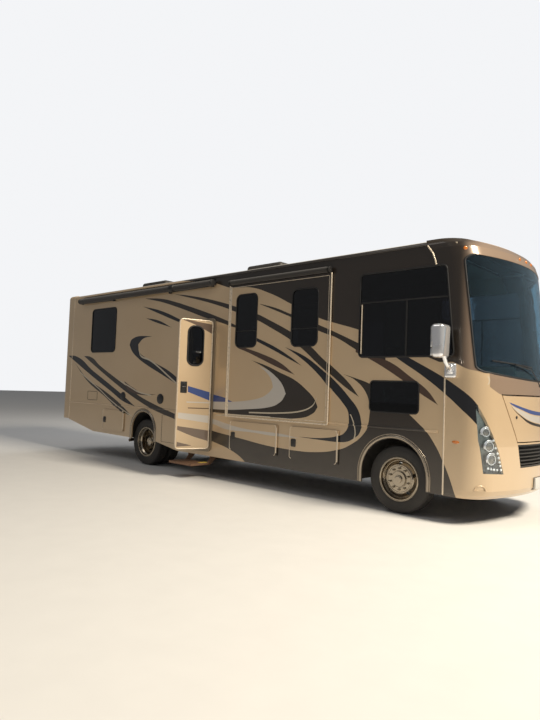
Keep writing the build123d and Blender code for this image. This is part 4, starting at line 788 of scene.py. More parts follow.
latch_black = finish_of("latch_black", (0.014, 0.014, 0.015), 0.32, 200, 0.10, 0.25, 0.06)
for side, word in SIDES:
    for name, front, rear, low in BAYS:
        body = f"bay_door_{word}_{name}"
        hinge = [beside(side, front + HINGE_OUT, BAY_PROUD, z)
                 for z in (low + HINGE_INSET, BAY_TOP - HINGE_INSET)]
        settle(bead(f"hinge_edge_{word}_{name}", hinge, HINGE_RADIUS), body, bright_strip, "body_paint")
        rim = rounded(rear + RIM_INSET, front - RIM_INSET, low + RIM_INSET, BAY_TOP - RIM_INSET, RIM_CORNER,
                      side * (SIDE_Y + BAY_PROUD))
        # Of seven points a corner, the first seven are the upper front one; each end keeps its two corners
        ends = [bead("rim", path, RIM_RADIUS) for path in (rim[7:21], rim[21:] + rim[:7])]
        settle(gather(f"door_rim_{word}_{name}", ends), body, bright_strip, "body_paint")
        x, z = rear + LATCH_INSET, (low + BAY_TOP) / 2
        latch = [
            block("plate", beside(side, x - PLATE_WIDE / 2, BAY_PROUD + PLATE_PROUD[0], z - PLATE_TALL / 2),
                  beside(side, x + PLATE_WIDE / 2, BAY_PROUD + PLATE_PROUD[1], z + PLATE_TALL / 2), 0.022, 5),
            block("paddle", beside(side, x - PADDLE_WIDE / 2, BAY_PROUD + PADDLE_PROUD[0], z + PADDLE_Z[0]),
                  beside(side, x + PADDLE_WIDE / 2, BAY_PROUD + PADDLE_PROUD[1], z + PADDLE_Z[1]), 0.005),
            disc("barrel", beside(side, x, BAY_PROUD + BARREL_PROUD, z + BARREL_Z), BARREL_RADIUS, 0.012,
                 edge=0.002),
        ]
        settle(gather(f"latch_{word}_{name}", latch), body, latch_black, "interior_dark")

# Slide-out rooms: a flange with a bright rolled edge closes each room against the wall, and a rubber seal
# lies between the two.
ROOMS = ((RIGHT, "right", -1.190, -3.320), (LEFT, "left", -1.350, -5.350))
ROOM_LOW, ROOM_TOP = 1.162, 3.370
FLANGE, FLANGE_PROUD, FLANGE_CORNER = 0.040, 0.026, 0.020
EDGE_RADIUS, INNER_RADIUS, SEAL_RADIUS = 0.0125, 0.0060, 0.0055
SEAL_INSET, SEAL_PROUD = 0.01, 0.006
for side, word, front, rear in ROOMS:
    body = f"slide_out_{word}"
    outline = rounded(rear - FLANGE, front + FLANGE, ROOM_LOW - FLANGE, ROOM_TOP + FLANGE, FLANGE_CORNER,
                      side * (SIDE_Y + FLANGE_PROUD))
    strip = block("strip", beside(side, rear - FLANGE, FLANGE_PROUD - 0.004, ROOM_LOW - FLANGE + 0.02),
                  beside(side, rear + 0.014, FLANGE_PROUD + 0.003, ROOM_TOP + FLANGE - 0.02), 0.001, 2)
    # The rolled edge is open along the top, under the topper
    edge = gather(f"room_edge_{word}", [bead("edge", outline[10:] + outline[:4], EDGE_RADIUS), strip])
    settle(edge, body, bright_strip, "body_paint")
    inner_edge = rounded(rear, front, ROOM_LOW, ROOM_TOP, 0.015, side * (SIDE_Y + FLANGE_PROUD - 0.001))
    settle(bead(f"room_inner_edge_{word}", inner_edge, INNER_RADIUS, closed=True), body, bright_strip,
           "body_paint")
    grow = FLANGE - SEAL_INSET
    seal = rounded(rear - grow, front + grow, ROOM_LOW - grow, ROOM_TOP + grow, FLANGE_CORNER,
                   side * (SIDE_Y + SEAL_PROUD))
    settle(bead(f"room_seal_{word}", seal, SEAL_RADIUS, closed=True), body, rubber, "interior_dark")

# Windows: dark privacy glass clamped in black frames with rounded corners, the opening sashes with a fine
# bright line. The cab's side windows are larger and split by a bar below their middle.
SIDE_PANES = (
    # side, front, rear, lower edge, upper edge, corner
    (RIGHT, 0.320, -0.440, 1.360, 1.790, 0.060), (RIGHT, -6.970, -7.960, 2.310, 3.290, 0.090),
    (LEFT, -6.970, -7.960, 2.310, 3.290, 0.090), (LEFT, -5.750, -6.350, 2.500, 3.200, 0.090),
)
ROOM_PANES = (
    # side, its name, the pane's name, front, rear, lower edge, upper edge
    (RIGHT, "right", "rear", -2.680, -3.180, 2.315, 3.230),
    (RIGHT, "right", "front", -1.385, -1.915, 2.305, 3.210),
    (LEFT, "left", "front", -1.700, -2.700, 2.100, 3.000),
    (LEFT, "left", "rear", -3.900, -4.900, 2.300, 3.000),
)
ROOM_PANE_CORNER = 0.100
ROOM_BAR_SHARE = 0.30
CAB_PANE = ((0.800, 2.125), (0.678, 3.320), (-0.645, 3.320), (-0.645, 2.125))
CAB_CORNER = 0.07
FRAME_RADIUS, CAB_FRAME_RADIUS = 0.010, 0.012
CAB_BARS = (((-0.63, 2.893), (0.722, 2.915)), ((0.095, 2.135), (0.120, 2.895)))
CAB_BAR_DEPTH = 0.014
SASH_X, SASH_Z, SASH_PROUD, SASH_RADIUS = -0.605, (2.17, 2.88), 0.006, 0.009


def cab_outline(y, steps=6):
    """Points round the cab's side window, whose front edge leans with the pillar."""
    points = []
    for index, spot in enumerate(CAB_PANE):
        corner = Vector(spot)
        start = corner + (Vector(CAB_PANE[index - 1]) - corner).normalized() * CAB_CORNER
        end = corner + (Vector(CAB_PANE[(index + 1) % len(CAB_PANE)]) - corner).normalized() * CAB_CORNER
        for share in (step / steps for step in range(steps + 1)):
            x, z = start * (1 - share) ** 2 + corner * 2 * share * (1 - share) + end * share ** 2
            points.append((x, y, z))
    return points


def glass_of(name, tint):
    """Clear or tinted glass, whose surface is perfectly smooth."""
    made, tree, shader, worn, place = material_of(name, tint, 0.0, 6, 0.02, 0.0, 0.0, Transmission_Weight=1.0,
                                                  IOR=1.5)
    for socket in ("Roughness", "Normal"):
        tree.links.remove(shader.inputs[socket].links[0])
    shader.inputs["Roughness"].default_value = 0.0
    return made


dress(glass_of("privacy_glass", (0.030, 0.033, 0.040)), "side_glass", "slide_glass_left", "slide_glass_right",
      "entry_door_glass")
frames = [bead("pane_frame", rounded(rear, front, low, top, corner, side * SIDE_Y), FRAME_RADIUS, closed=True)
          for side, front, rear, low, top, corner in SIDE_PANES]
for side in (RIGHT, LEFT):
    frames.append(bead("cab_frame", cab_outline(side * SIDE_Y), CAB_FRAME_RADIUS, closed=True))
    frames += [block("cab_bar", beside(side, rear, 0, low), beside(side, front, -CAB_BAR_DEPTH, top), 0.003)
               for (rear, low), (front, top) in CAB_BARS]
settle(gather("window_frames", frames), "chassis", rubber, "interior_dark")
sashes = [bead("sash_line", [beside(side, SASH_X, SASH_PROUD, z) for z in SASH_Z], SASH_RADIUS)
          for side in (RIGHT, LEFT)]
settle(gather("sash_lines", sashes), "chassis", bright_strip, "body_paint")
for side, word, name, front, rear, low, top in ROOM_PANES:
    outline = rounded(rear, front, low, top, ROOM_PANE_CORNER, side * (SIDE_Y + FLANGE_PROUD + 0.002))
    split = low + (top - low) * ROOM_BAR_SHARE
    window = [
        bead("frame", outline, FRAME_RADIUS, closed=True),
        block("bar", beside(side, rear + 0.01, FLANGE_PROUD - 0.010, split),
              beside(side, front - 0.01, FLANGE_PROUD, split + 0.014), 0.002),
    ]
    settle(gather(f"room_window_{word}_{name}", window), f"slide_out_{word}", rubber, "interior_dark")

# Windshield: one curved laminated pane bonded to the cap and edged with a thick black rubber, with two wipers
# parked along its lower edge.
SCREEN_HALF = 1.2405
SCREEN_LOW, SCREEN_DIP, SCREEN_TOP = 1.935, 0.085, 3.435
SCREEN_CORNER = 0.09
RUBBER_DEPTH, RUBBER_RADIUS = 0.007, 0.014
# The wiper's arm by (y, z, how far ahead of the nose), and its straight blade by y
WIPER_ARM = ((0.05, 1.795, 0.020), (0.14, 1.865, 0.045), (0.36, 1.995, 0.035), (0.72, 2.045, 0.030))
BLADE_Y = [0.30 + 0.08 * step for step in range(11)]
BLADE_Z, BLADE_RISE, BLADE_PROUD = 2.01, 0.06, 0.016
ARM_RADIUS, BLADE_RADIUS = 0.0075, 0.0085
# No arm stands out ahead of the nose
ARM_LIMIT = NOSE_X - 0.0085


def screen_outline(side_steps=12, foot_steps=28):
    """Points round the windshield on the nose's surface, its foot a shallow bow."""
    radius = SCREEN_CORNER
    half = SCREEN_HALF - radius
    top, foot = SCREEN_TOP - radius, SCREEN_LOW + radius * 0.9
    straight = SCREEN_TOP - SCREEN_LOW - 2 * radius
    bow = (SCREEN_HALF ** 2 + SCREEN_DIP ** 2) / (2 * SCREEN_DIP)
    flat = arc(half, top, radius, 0, 90) + arc(-half, top, radius, 90, 180)
    flat += [(-SCREEN_HALF, top - straight * step / side_steps) for step in range(1, side_steps)]
    flat += arc(-half, foot, radius, 180, 260)[1:]
    for step in range(1, foot_steps):
        y = -half + 2 * half * step / foot_steps
        flat.append((y, SCREEN_LOW - SCREEN_DIP + bow - math.sqrt(bow ** 2 - y ** 2)))
    flat += arc(half, foot, radius, 280, 360)[:-1]
    low = SCREEN_LOW + radius
    flat += [(SCREEN_HALF, low + straight * step / side_steps) for step in range(1, side_steps)]
    return [(nose_x(y, z) - RUBBER_DEPTH, y, z) for y, z in flat]


# The strong blue-green tint is partly the glass's own and partly a painted reflection of a blue sky
dress(glass_of("screen_glass", (0.25, 0.44, 0.54)), "windshield")
surround = bead("screen_rubber", screen_outline(), RUBBER_RADIUS, closed=True)
settle(surround, "chassis", rubber, "interior_dark")
wipers = []
for side in (RIGHT, LEFT):
    arm = [(min(nose_x(y, z) + proud, ARM_LIMIT), side * y, z) for y, z, proud in WIPER_ARM]
    wipers.append(bead("arm", arm, ARM_RADIUS))
    blade = [(y, BLADE_Z + BLADE_RISE * y) for y in BLADE_Y]
    blade = [(nose_x(y, z) + BLADE_PROUD, side * y, z) for y, z in blade]
    wipers.append(bead("blade", blade, BLADE_RADIUS))
    wipers.append(disc("pivot", (NOSE_X - 0.018, side * 0.05, 1.795), 0.022, 0.034, axis="X", edge=0.004))
settle(gather("wipers", wipers), "chassis", latch_black, "interior_dark")

# Wheel housings: black moulded liners that arch over the wheels behind the skirt and keep spray off the
# chassis. Each is clipped to the skirt's flange and to the floor.
LINERS = (
    # middle, its height, half length, rise, lower edge, how far in from the side
    (-0.048, 0.515, 0.600, 0.505, 0.375, 0.600),
    (-5.815, 0.545, 0.505, 0.500, 0.500, 0.680),
)
LINER_OUTER = 0.030
LINER_THICK = 0.003
# Each end of the arch runs on as a straight foot, over this share of the half turn
FOOT_SHARE = 0.1


def thicken(piece, thickness, offset=-1):
    select_only(piece)
    shell = piece.modifiers.new("thickness", "SOLIDIFY")
    shell.thickness = thickness
    shell.offset = offset
    bpy.ops.object.modifier_apply(modifier=shell.name)
    return piece


liners = []
for middle, height, half_length, rise, low, inner in LINERS:
    for side in (RIGHT, LEFT):
        bpy.ops.mesh.primitive_grid_add(x_subdivisions=40, y_subdivisions=2, size=1)
        liner = bpy.context.object
        for corner in liner.data.vertices:
            share, inward = corner.co.x + 0.5, corner.co.y + 0.5
            turn = math.pi * (share * (1 + 2 * FOOT_SHARE) - FOOT_SHARE)
            held = min(max(turn, 0.0), math.pi)
            foot = max(-turn, turn - math.pi, 0.0) / (FOOT_SHARE * math.pi)
            corner.co = beside(side, middle + half_length * math.cos(held),
                               -LINER_OUTER - (inner - LINER_OUTER) * inward,
                               height + rise * math.sin(held) - (height - low) * foot)
        liners.append(thicken(liner, LINER_THICK, offset=1))
        shade(40)
liner_black = finish_of("liner_black", (0.014, 0.014, 0.015), 0.70, 120, 0.14, 0.35, 0.20)
settle(gather("wheel_housings", liners), "chassis", liner_black, "interior_dark")

# Mirrors: deep chromed housings on bent chromed arms, hung from the pillars, each with a flat glass above a
# small round-cornered convex one on its rear face.
MIRROR_X = (0.662, 0.828)
MIRROR_OUT = (0.142, 0.398)
MIRROR_Z = (2.085, 2.505)
MIRROR_PINCH = (0.14, 0.10)
GLASS_Z = ((2.215, 2.475), (2.110, 2.200))
GLASS_INSET = 0.030
# The arm and its base by (x, out from the side, z)
MIRROR_ARM = ((0.768, 0.035, 1.93), (0.790, 0.10, 1.955), (0.796, 0.17, 1.985), (0.798, 0.235, 2.035),
              (0.790, 0.265, 2.12))
MIRROR_BASE = ((0.690, 0.001, 1.846), (0.848, 0.060, 2.035))
chrome = finish_of("mirror_chrome", (0.86, 0.87, 0.90), 0.07, 120, 0.04, 0.10, 0.008, Metallic=0.78)
silvered = finish_of("mirror_glass", (0.92, 0.94, 0.95), 0.02, 30, 0.01, 0.10, 0.0, Metallic=1.0)
mirror_parts = []
mirror_glasses = []
for side in (RIGHT, LEFT):
    head = block("head", beside(side, MIRROR_X[0], MIRROR_OUT[0], MIRROR_Z[0]),
                 beside(side, MIRROR_X[1], MIRROR_OUT[1], MIRROR_Z[1]), 0.048, 7)
    for corner in head.data.vertices:
        share = corner.co.z / (MIRROR_Z[1] - MIRROR_Z[0]) + 0.5
        pinch = 1 - min(share * 2, 1.0)
        corner.co.x *= 1 - MIRROR_PINCH[0] * pinch
        corner.co.y *= 1 - MIRROR_PINCH[1] * pinch
    mirror_parts += [
        head,
        block("base", *(beside(side, *corner) for corner in MIRROR_BASE), 0.026, 5),
        bead("arm", [beside(side, *spot) for spot in MIRROR_ARM], 0.027),
        disc("clamp", beside(side, 0.770, 0.040, 1.95), 0.050, 0.110, axis="Z", edge=0.010),
    ]
    mirror_glasses += [block("glass", beside(side, MIRROR_X[0] - 0.004, MIRROR_OUT[0] + GLASS_INSET, low),
                             beside(side, MIRROR_X[0] + 0.010, MIRROR_OUT[1] - GLASS_INSET, high), 0.006)
                       for low, high in GLASS_Z]
settle(gather("mirror_units", mirror_parts), "chassis", chrome, "mirror_chrome", "mirrors")
settle(gather("mirror_glasses", mirror_glasses), "chassis", silvered, "mirror_chrome")

# Headlamps: a dark moulded bucket behind a clear lens that follows the corner, with three projectors under
# bright half-moon visors and a line of small daytime lamps along the inner and lower edges.
PROJECTORS = ((1.166, 1.181, 0.044), (1.126, 1.009, 0.053), (1.085, 0.845, 0.058))
PROJECTOR_DEPTH, PROJECTOR_FLAT = 0.030, 0.38
VISORS = (
    # how far beyond the projector, radius, start and end of the ring in degrees
    (0.004, 0.007, 0, 360), (0.022, 0.010, 60, 215),
)
VISOR_OUT, VISOR_STEP = 0.012, 12
DAYTIME = ((1.072, 1.083), (1.037, 0.989), (0.998, 0.921), (0.976, 0.867), (0.954, 0.812), (0.938, 0.765),
           (0.921, 0.712), (0.985, 0.716), (1.040, 0.722), (1.085, 0.730), (1.125, 0.738))
DAYTIME_DEPTH, DAYTIME_RADIUS, DAYTIME_FLAT = 0.015, 0.0150, 0.8
LENS_THICK, BUCKET_THICK = 0.003, 0.002
BUCKET_SETBACK, BUCKET_DEPTH = 0.0035, 0.050
# The bucket is dark grey, painted paler towards its top as a painted reflection of bright sky in its upper
# part
BUCKET_LIGHT_FADE = (0.82, 1.40)
BUCKET_SHADED, BUCKET_LIT = (0.10, 0.11, 0.115, 1), (0.38, 0.44, 0.42, 1)


def nose_out(y, z):
    """The place on the nose and the direction it faces there, level with the ground."""
    step = 0.002
    x = nose_x(y, z)
    slope = Vector((step, nose_x(abs(y) - step, z) - x, 0)).normalized()
    return Vector((x, y, z)), Vector((slope.x, math.copysign(slope.y, y), 0))


def corner_way(spot):
    """The way that the lamp corner of its side faces."""
    return Vector((0.72, math.copysign(0.69, spot.y), 0))


def lamp_skin(name, keep):
    """A merged copy of the lamps that keeps the faces a rule picks, as its own mesh in the drawing."""
    made = bmesh.new()
    made.from_mesh(nodes["lamps"].data)
    made.transform(Matrix.Translation(-DRAWING) @ nodes["lamps"].matrix_world)
    bmesh.ops.remove_doubles(made, verts=made.verts, dist=1e-5)
    bmesh.ops.recalc_face_normals(made, faces=made.faces)
    bmesh.ops.delete(made, geom=[face for face in made.faces if not keep(face)], context="FACES")
    mesh = bpy.data.meshes.new(name)
    made.to_mesh(mesh)
    made.free()
    piece = bpy.data.objects.new(name, mesh)
    bpy.context.scene.collection.objects.link(piece)
    return piece


def faces_out(face):
    spot = face.calc_center_median()
    return spot.x > 0 and face.normal.dot(corner_way(spot)) > 0.55


def dome(name, middle, out, radius, flat):
    """A sphere pressed flat along the way it faces."""
    bpy.ops.mesh.primitive_uv_sphere_add(segments=32, ring_count=16, radius=radius, location=middle)
    piece = bpy.context.object
    piece.name = name
    for corner in piece.data.vertices:
        corner.co -= out * corner.co.dot(out) * (1 - flat)
    bpy.ops.object.shade_smooth()
    return piece


lens = thicken(lamp_skin("headlamp_lenses", faces_out), LENS_THICK)
shade(40)
settle(lens, "chassis", glass_of("lamp_lens", (0.90, 0.93, 0.93)), "lamp_lens")

bucket = lamp_skin("headlamp_buckets", faces_out)
made = bmesh.new()
made.from_mesh(bucket.data)
for corner in made.verts:
    corner.co -= BUCKET_SETBACK * corner_way(corner.co)
front = list(made.faces)
grown = bmesh.ops.extrude_face_region(made, geom=front)
for corner in (item for item in grown["geom"] if isinstance(item, bmesh.types.BMVert)):
    corner.co -= BUCKET_DEPTH * corner_way(corner.co)
bmesh.ops.delete(made, geom=front, context="FACES")
bmesh.ops.recalc_face_normals(made, faces=made.faces)
made.to_mesh(bucket.data)
made.free()
thicken(bucket, BUCKET_THICK)
shade(40)
bucket_grey, tree, shader, worn, place = material_of(
    "lamp_bucket", (0.30, 0.31, 0.31), 0.22, 160, 0.10, 0.0, 0.05, Metallic=0.55,
)
height = add_node(tree, "ShaderNodeSeparateXYZ", {"Vector": place}).outputs["Z"]
upper = ramp(tree, height, *BUCKET_LIGHT_FADE)
tree.links.new(blend_colour(tree, upper, BUCKET_SHADED, BUCKET_LIT), worn.inputs["Color"])
settle(bucket, "chassis", bucket_grey, "lamp_lens", "lamps")

visors, bulbs, dots = [], [], []
for side in (RIGHT, LEFT):
    for y, z, radius in PROJECTORS:
        spot, out = nose_out(side * y, z)
        inward = Vector((-out.y, out.x, 0)) * -side
        middle = spot - out * PROJECTOR_DEPTH
        for grow, thick, start, end in VISORS:
            ring = []
            for turn in (math.radians(degrees) for degrees in range(start, end, VISOR_STEP)):
                spoke = inward * math.cos(turn) + Vector((0, 0, math.sin(turn)))
                ring.append(middle + out * VISOR_OUT + spoke * (radius + grow))
            visors.append(bead("visor", ring, thick, closed=end == 360))
        bulbs.append(dome("bulb", middle, out, radius, PROJECTOR_FLAT))
    for y, z in DAYTIME:
        spot, out = nose_out(side * y, z)
        dots.append(dome("dot", spot - out * DAYTIME_DEPTH, out, DAYTIME_RADIUS, DAYTIME_FLAT))
reflector = finish_of("projector_glass", (0.25, 0.24, 0.22), 0.08, 220, 0.05, 0.0, 0.04, Metallic=0.75)
# The daytime lamps' faint glow is a painted highlight that stands in for bright reflections on them
white_lamp = finish_of("daytime_lamp", (0.88, 0.90, 0.90), 0.14, 220, 0.04, 0.0, 0.02, Coat_Weight=1.0,
                       Emission_Color=(1.0, 0.98, 0.95, 1), Emission_Strength=0.30)
settle(gather("lamp_visors", visors), "chassis", chrome, "lamp_lens")
settle(gather("lamp_projectors", bulbs), "chassis", reflector, "lamp_lens")
settle(gather("daytime_lamps", dots), "chassis", white_lamp, "lamp_lens")

# Tail and marker lamps: upright red lenses let into the rear cap, five small amber lamps in a row over the
# windshield, and one long one on each front side. They are moulded acrylic, screwed on over gaskets.
CREST_LAMPS = (-1.225, -0.22, 0.0, 0.22, 1.225)
CREST_Z, CREST_RADIUS, CREST_FLAT = 3.515, 0.027, 0.45
SIDE_LAMP, SIDE_LAMP_RADIUS, SIDE_LAMP_FLAT, SIDE_LAMP_STRETCH = (0.842, 0, 1.039), 0.020, 0.6, 2.5
tails = lamp_skin("tail_lamps", lambda face: face.calc_center_median().x < 0)
select_only(tails)
shade(40)
tail_red = finish_of("tail_lamp", (0.42, 0.012, 0.010), 0.10, 140, 0.05, 0.10, 0.03, Coat_Weight=1.0)
settle(tails, "chassis", tail_red, "lamp_lens")
markers = [dome("marker", *nose_out(y, CREST_Z), CREST_RADIUS, CREST_FLAT) for y in CREST_LAMPS]
for side in (RIGHT, LEFT):
    marker = dome("marker", beside(side, *SIDE_LAMP), Vector((0, side, 0)), SIDE_LAMP_RADIUS, SIDE_LAMP_FLAT)
    marker.scale.x = SIDE_LAMP_STRETCH
    markers.append(marker)
amber = finish_of("marker_amber", (0.55, 0.16, 0.015), 0.14, 140, 0.05, 0.10, 0.03, Coat_Weight=1.0)
settle(gather("marker_lamps", markers), "chassis", amber, "lamp_lens")

# Wheels: polished steel discs under stepped bright covers, held by ten nuts, with pushed-on hub caps; the
# tyres are ribbed highway tyres with cut shoulders and moulded rings on their walls.
TYRE_MIDDLE = SIDE_Y - 0.2025
TWIN_SPACING = 0.285
REAR_AXLE_X = -5.791
TREAD_GROOVES = (-0.054, -0.018, 0.018, 0.054)
TREAD_RADIUS, GROOVE_RADIUS = 0.4600, 0.4490
GROOVE_HALF, GROOVE_FLOOR_HALF = 0.0065, 0.0050
WALL_PROFILE = ((0.1, 0.29), (0.1105, 0.3), (0.1165, 0.318), (0.1175, 0.324), (0.1195, 0.326),
                (0.1205, 0.332), (0.1215, 0.35), (0.1225, 0.362), (0.1225, 0.392), (0.1215, 0.401),
                (0.1205, 0.402), (0.119, 0.418), (0.1165, 0.432), (0.112, 0.444), (0.1045, 0.4515),
                (0.096, 0.4555), (0.086, 0.4585))
# Cuts across the tread and fine ribs round the wall: how many, and between which radii they start
SIPES, SIPE_EDGE, TREAD_EDGE = 56, (0.22, 0.12), (0.440, 0.447)
WALL_RIBS, RIB_BAND = 120, (0.372, 0.386)
NUTS = 10
NUT_CIRCLE = 0.143
FRONT_RINGS = (
    # radius, how far outward of the tyre's middle, thickness
    (0.290, 0.114, 0.0065), (0.252, 0.060, 0.006), (0.196, 0.0975, 0.005), (0.176, 0.0975, 0.004),
    (0.112, 0.0975, 0.004),
)
REAR_RINGS = ((0.290, 0.114, 0.0065), (0.262, 0.100, 0.005))
AXLES = (
    # end, wheels, tyres, axle, middles of the tyres, rings, face of the disc, root and reach of the hub cap
    ("front", "front_wheel", "front_tyre", 0.0, (TYRE_MIDDLE,), FRONT_RINGS, 0.0965, 0.0965, 0.142),
    ("rear", "rear_wheels", "rear_tyres", REAR_AXLE_X, (TYRE_MIDDLE, TYRE_MIDDLE - TWIN_SPACING), REAR_RINGS,
     -0.142, 0.006, 0.036),
)


def turned(name, profile, x, y, side, closed=False, steps=96):
    """A profile of (outward, radius) points turned about a wheel's axle."""
    piece = traced(name, [(radius, side * outward, 0) for outward, radius in profile], closed=closed)
    lathe = piece.modifiers.new("lathe", "SCREW")
    lathe.axis = "Y"
    lathe.steps = lathe.render_steps = steps
    lathe.use_merge_vertices = True
    lathe.merge_threshold = 1e-5
    bpy.ops.object.modifier_apply(modifier=lathe.name)
    face_out()
    shade(32)
    piece.location = (x, y, WHEEL_Z)
    return piece


def tyre_profile():
    """Half a section from the bead to the tread, its grooves, and the other half."""
    points = [(-outward, radius) for outward, radius in WALL_PROFILE]
    for groove in TREAD_GROOVES:
        points += [(groove - GROOVE_HALF, TREAD_RADIUS), (groove - GROOVE_FLOOR_HALF, GROOVE_RADIUS),
                   (groove + GROOVE_FLOOR_HALF, GROOVE_RADIUS), (groove + GROOVE_HALF, TREAD_RADIUS)]
    return points + list(reversed(WALL_PROFILE))


def tyre_rubber(name, axle_x):
    """Black rubber whose tread is cut across by a pattern that runs round the axle."""
    made, tree, shader, worn, place = material_of(name, (0.013, 0.013, 0.014), 0.62, 110, 0.12, 0.14, 0.0)
    axle = (-AXLE_X - axle_x, 0, -WHEEL_Z)
    centred = add_node(tree, "ShaderNodeMapping", {"Vector": place, "Location": axle})
    parts = add_node(tree, "ShaderNodeSeparateXYZ", {"Vector": centred.outputs[0]}).outputs
    turn = reckon(tree, "ARCTAN2", parts["Z"], parts["X"])
    radius = reckon(tree, "SQRT", reckon(tree, "ADD", reckon(tree, "POWER", parts["X"], 2.0),
                                         reckon(tree, "POWER", parts["Z"], 2.0)))
    sipe = reckon(tree, "PINGPONG", reckon(tree, "MULTIPLY", turn, SIPES / math.pi), 1.0)
    rib = reckon(tree, "PINGPONG", reckon(tree, "MULTIPLY", turn, WALL_RIBS / math.pi), 1.0)
    cut = both(tree, ramp(tree, sipe, *SIPE_EDGE), ramp(tree, radius, *TREAD_EDGE))
    ribs = both(tree, rib, over(tree, radius, RIB_BAND[0]), under(tree, radius, RIB_BAND[1]))
    grain = reckon(tree, "MULTIPLY", worn.outputs["Height"], 0.10)
    form = reckon(tree, "ADD", reckon(tree, "SUBTRACT", grain, cut), reckon(tree, "MULTIPLY", ribs, 0.25))
    emboss(tree, shader, form, 0.7, 0.006)
    return made


# The wheels' steel is darker and more bronze than polished steel, partly its own tone and partly painted
# shade
wheel_steel = finish_of("wheel_steel", (0.40, 0.35, 0.28), 0.13, 150, 0.10, 0.14, 0.02, Metallic=1.0)
tyre_finish = {
    "front": tyre_rubber("front_tyre_rubber", 0.0), "rear": tyre_rubber("rear_tyre_rubber", REAR_AXLE_X),
}
for side, word in SIDES:
    for end, wheels, tyres, axle, middles, rings, face, root, cap_end in AXLES:
        body = f"{wheels}_{word}"
        treads = [turned("tyre", tyre_profile(), axle, side * middle, side) for middle in middles]
        settle(gather(f"{end}_tread_{word}", treads), body, tyre_finish[end], "tyre", f"{tyres}_{word}")
        y = side * middles[0]
        trims = [turned("ring", arc(outward, radius, thick, 0, 324, 9), axle, y, side, closed=True)
                 for radius, outward, thick in rings]
        for x, z in arc(axle, WHEEL_Z, NUT_CIRCLE, 180 / NUTS, 360 - 180 / NUTS, NUTS - 1):
            trims += [
                disc("nut", (x, y + side * (face + 0.014), z), 0.0165, 0.032, edge=0.004, corners=6),
                disc("tip", (x, y + side * (face + 0.032), z), 0.010, 0.012, edge=0.003, corners=16),
            ]
        # The hub cap by (outward, radius)
        cap = ((root, 0.101), (root + 0.012, 0.1015), (root + 0.0215, 0.094), (cap_end - 0.026, 0.062),
               (cap_end - 0.022, 0.0545), (cap_end - 0.004, 0.053), (cap_end, 0.046),
               (cap_end + 0.0005, 0.030), (cap_end - 0.003, 0.0))
        trims.append(turned("cap", cap, axle, y, side, steps=64))
        settle(gather(f"{end}_wheel_trim_{word}", trims), body, wheel_steel, "wheel_steel")
        dress(wheel_steel, body)

# Entry door: a laminated leaf in an aluminium edge, painted with its own run of the scheme, with a tall
# rounded window, a flush paddle latch with a separate deadbolt, and an inner panel with a grab rail.
HINGE = Vector((-3.775, -1.3075, 0))
DOOR_OPEN = math.radians(70)
DOOR_FACE = -1.3265
DOOR_BACK = -1.2885
DOOR_WIDTH = 0.640
DOOR_Z = (0.510, 2.815)
LEAF_INSET, LEAF_GAP, LEAF_CORNER, LEAF_RADIUS = 0.014, 0.016, 0.055, 0.0105
# The window by rear, front, lower edge, upper edge and corner; its rings by y and radius
DOOR_PANE = (-4.245, -3.955, 1.990, 2.690, 0.120)
DOOR_RINGS = ((DOOR_FACE - 0.002, 0.015), (DOOR_BACK + 0.002, 0.010))
# Inside rail by distance from the hinge, distance from the inner face, and height
DOOR_RAIL = ((0.10, 0.0, 1.46), (0.10, 0.045, 1.47), (0.56, 0.045, 1.47), (0.56, 0.0, 1.46))
DOOR_RAIL_RADIUS = 0.011
# The door's dark bands are the wall's espresso paint, painted lighter as painted light for sun on the door
DOOR_SUNLIT_BROWN = (0.135, 0.090, 0.064, 1)
DOOR_BANDS = (
    # colour, upper line, lower line, each by distance from the hinge
    (DOOR_SUNLIT_BROWN, ((-0.01, 2.739), (0.565, 2.798)), ((-0.01, 2.558), (0.351, 2.715), (0.565, 2.780))),
    (RIBBON_BLUE, ((0.0, 1.519), (0.437, 1.624)), ((0.0, 1.368), (0.433, 1.518))),
    (SILVER, ((0.0, 1.345), (0.45, 1.350)), ((0.0, 1.325), (0.45, 1.330))),
    (BROWN, ((0.0, 1.240), (0.42, 1.245)), ((0.0, 1.224), (0.42, 1.229))),
    (SILVER, ((-0.01, 1.100), (0.60, 1.155)), ((-0.01, 0.969), (0.60, 1.056))),
    (DOOR_SUNLIT_BROWN, ((-0.10, 0.825), (0.60, 0.920)), ((-0.10, 0.622), (0.285, 0.732), (0.60, 0.853))),
    (DOOR_SUNLIT_BROWN, ((0.33, 0.582), (0.60, 0.645)), ((0.33, 0.578), (0.60, 0.560))),
)

door_paint, tree, shader, worn, place = material_of(
    "door_paint", CHAMPAGNE, 0.30, 160, 0.05, 0.30, 0.012, Metallic=0.25, Coat_Weight=LACQUER,
    Coat_Roughness=0.04,
)
hinge_in_row = HINGE + DRAWING
shift = hinge_in_row - Matrix.Rotation(-DOOR_OPEN, 3, "Z") @ hinge_in_row
shut = add_node(tree, "ShaderNodeMapping", {
    "Vector": place, "Rotation": (0, 0, -DOOR_OPEN), "Location": shift,
})
parts = add_node(tree, "ShaderNodeSeparateXYZ", {"Vector": shut.outputs[0]}).outputs
reach = reckon(tree, "SUBTRACT", hinge_in_row.x, parts["X"])
drift = add_node(tree, "ShaderNodeTexNoise", {"Vector": shut.outputs[0], "Scale": 0.9, "Detail": 3})
coat = blend_colour(tree, drift.outputs["Fac"], CHAMPAGNE, CHAMPAGNE_PALE)
for colour, top, low in DOOR_BANDS:
    coat = blend_colour(tree, between_lines(tree, reach, parts["Z"], top, low), coat, colour)
inner_face = over(tree, parts["Y"], DRAWING.y + DOOR_BACK - 0.004)
tree.links.new(blend_colour(tree, inner_face, coat, CABIN_CREAM), worn.inputs["Color"])
dress(door_paint, "entry_door")


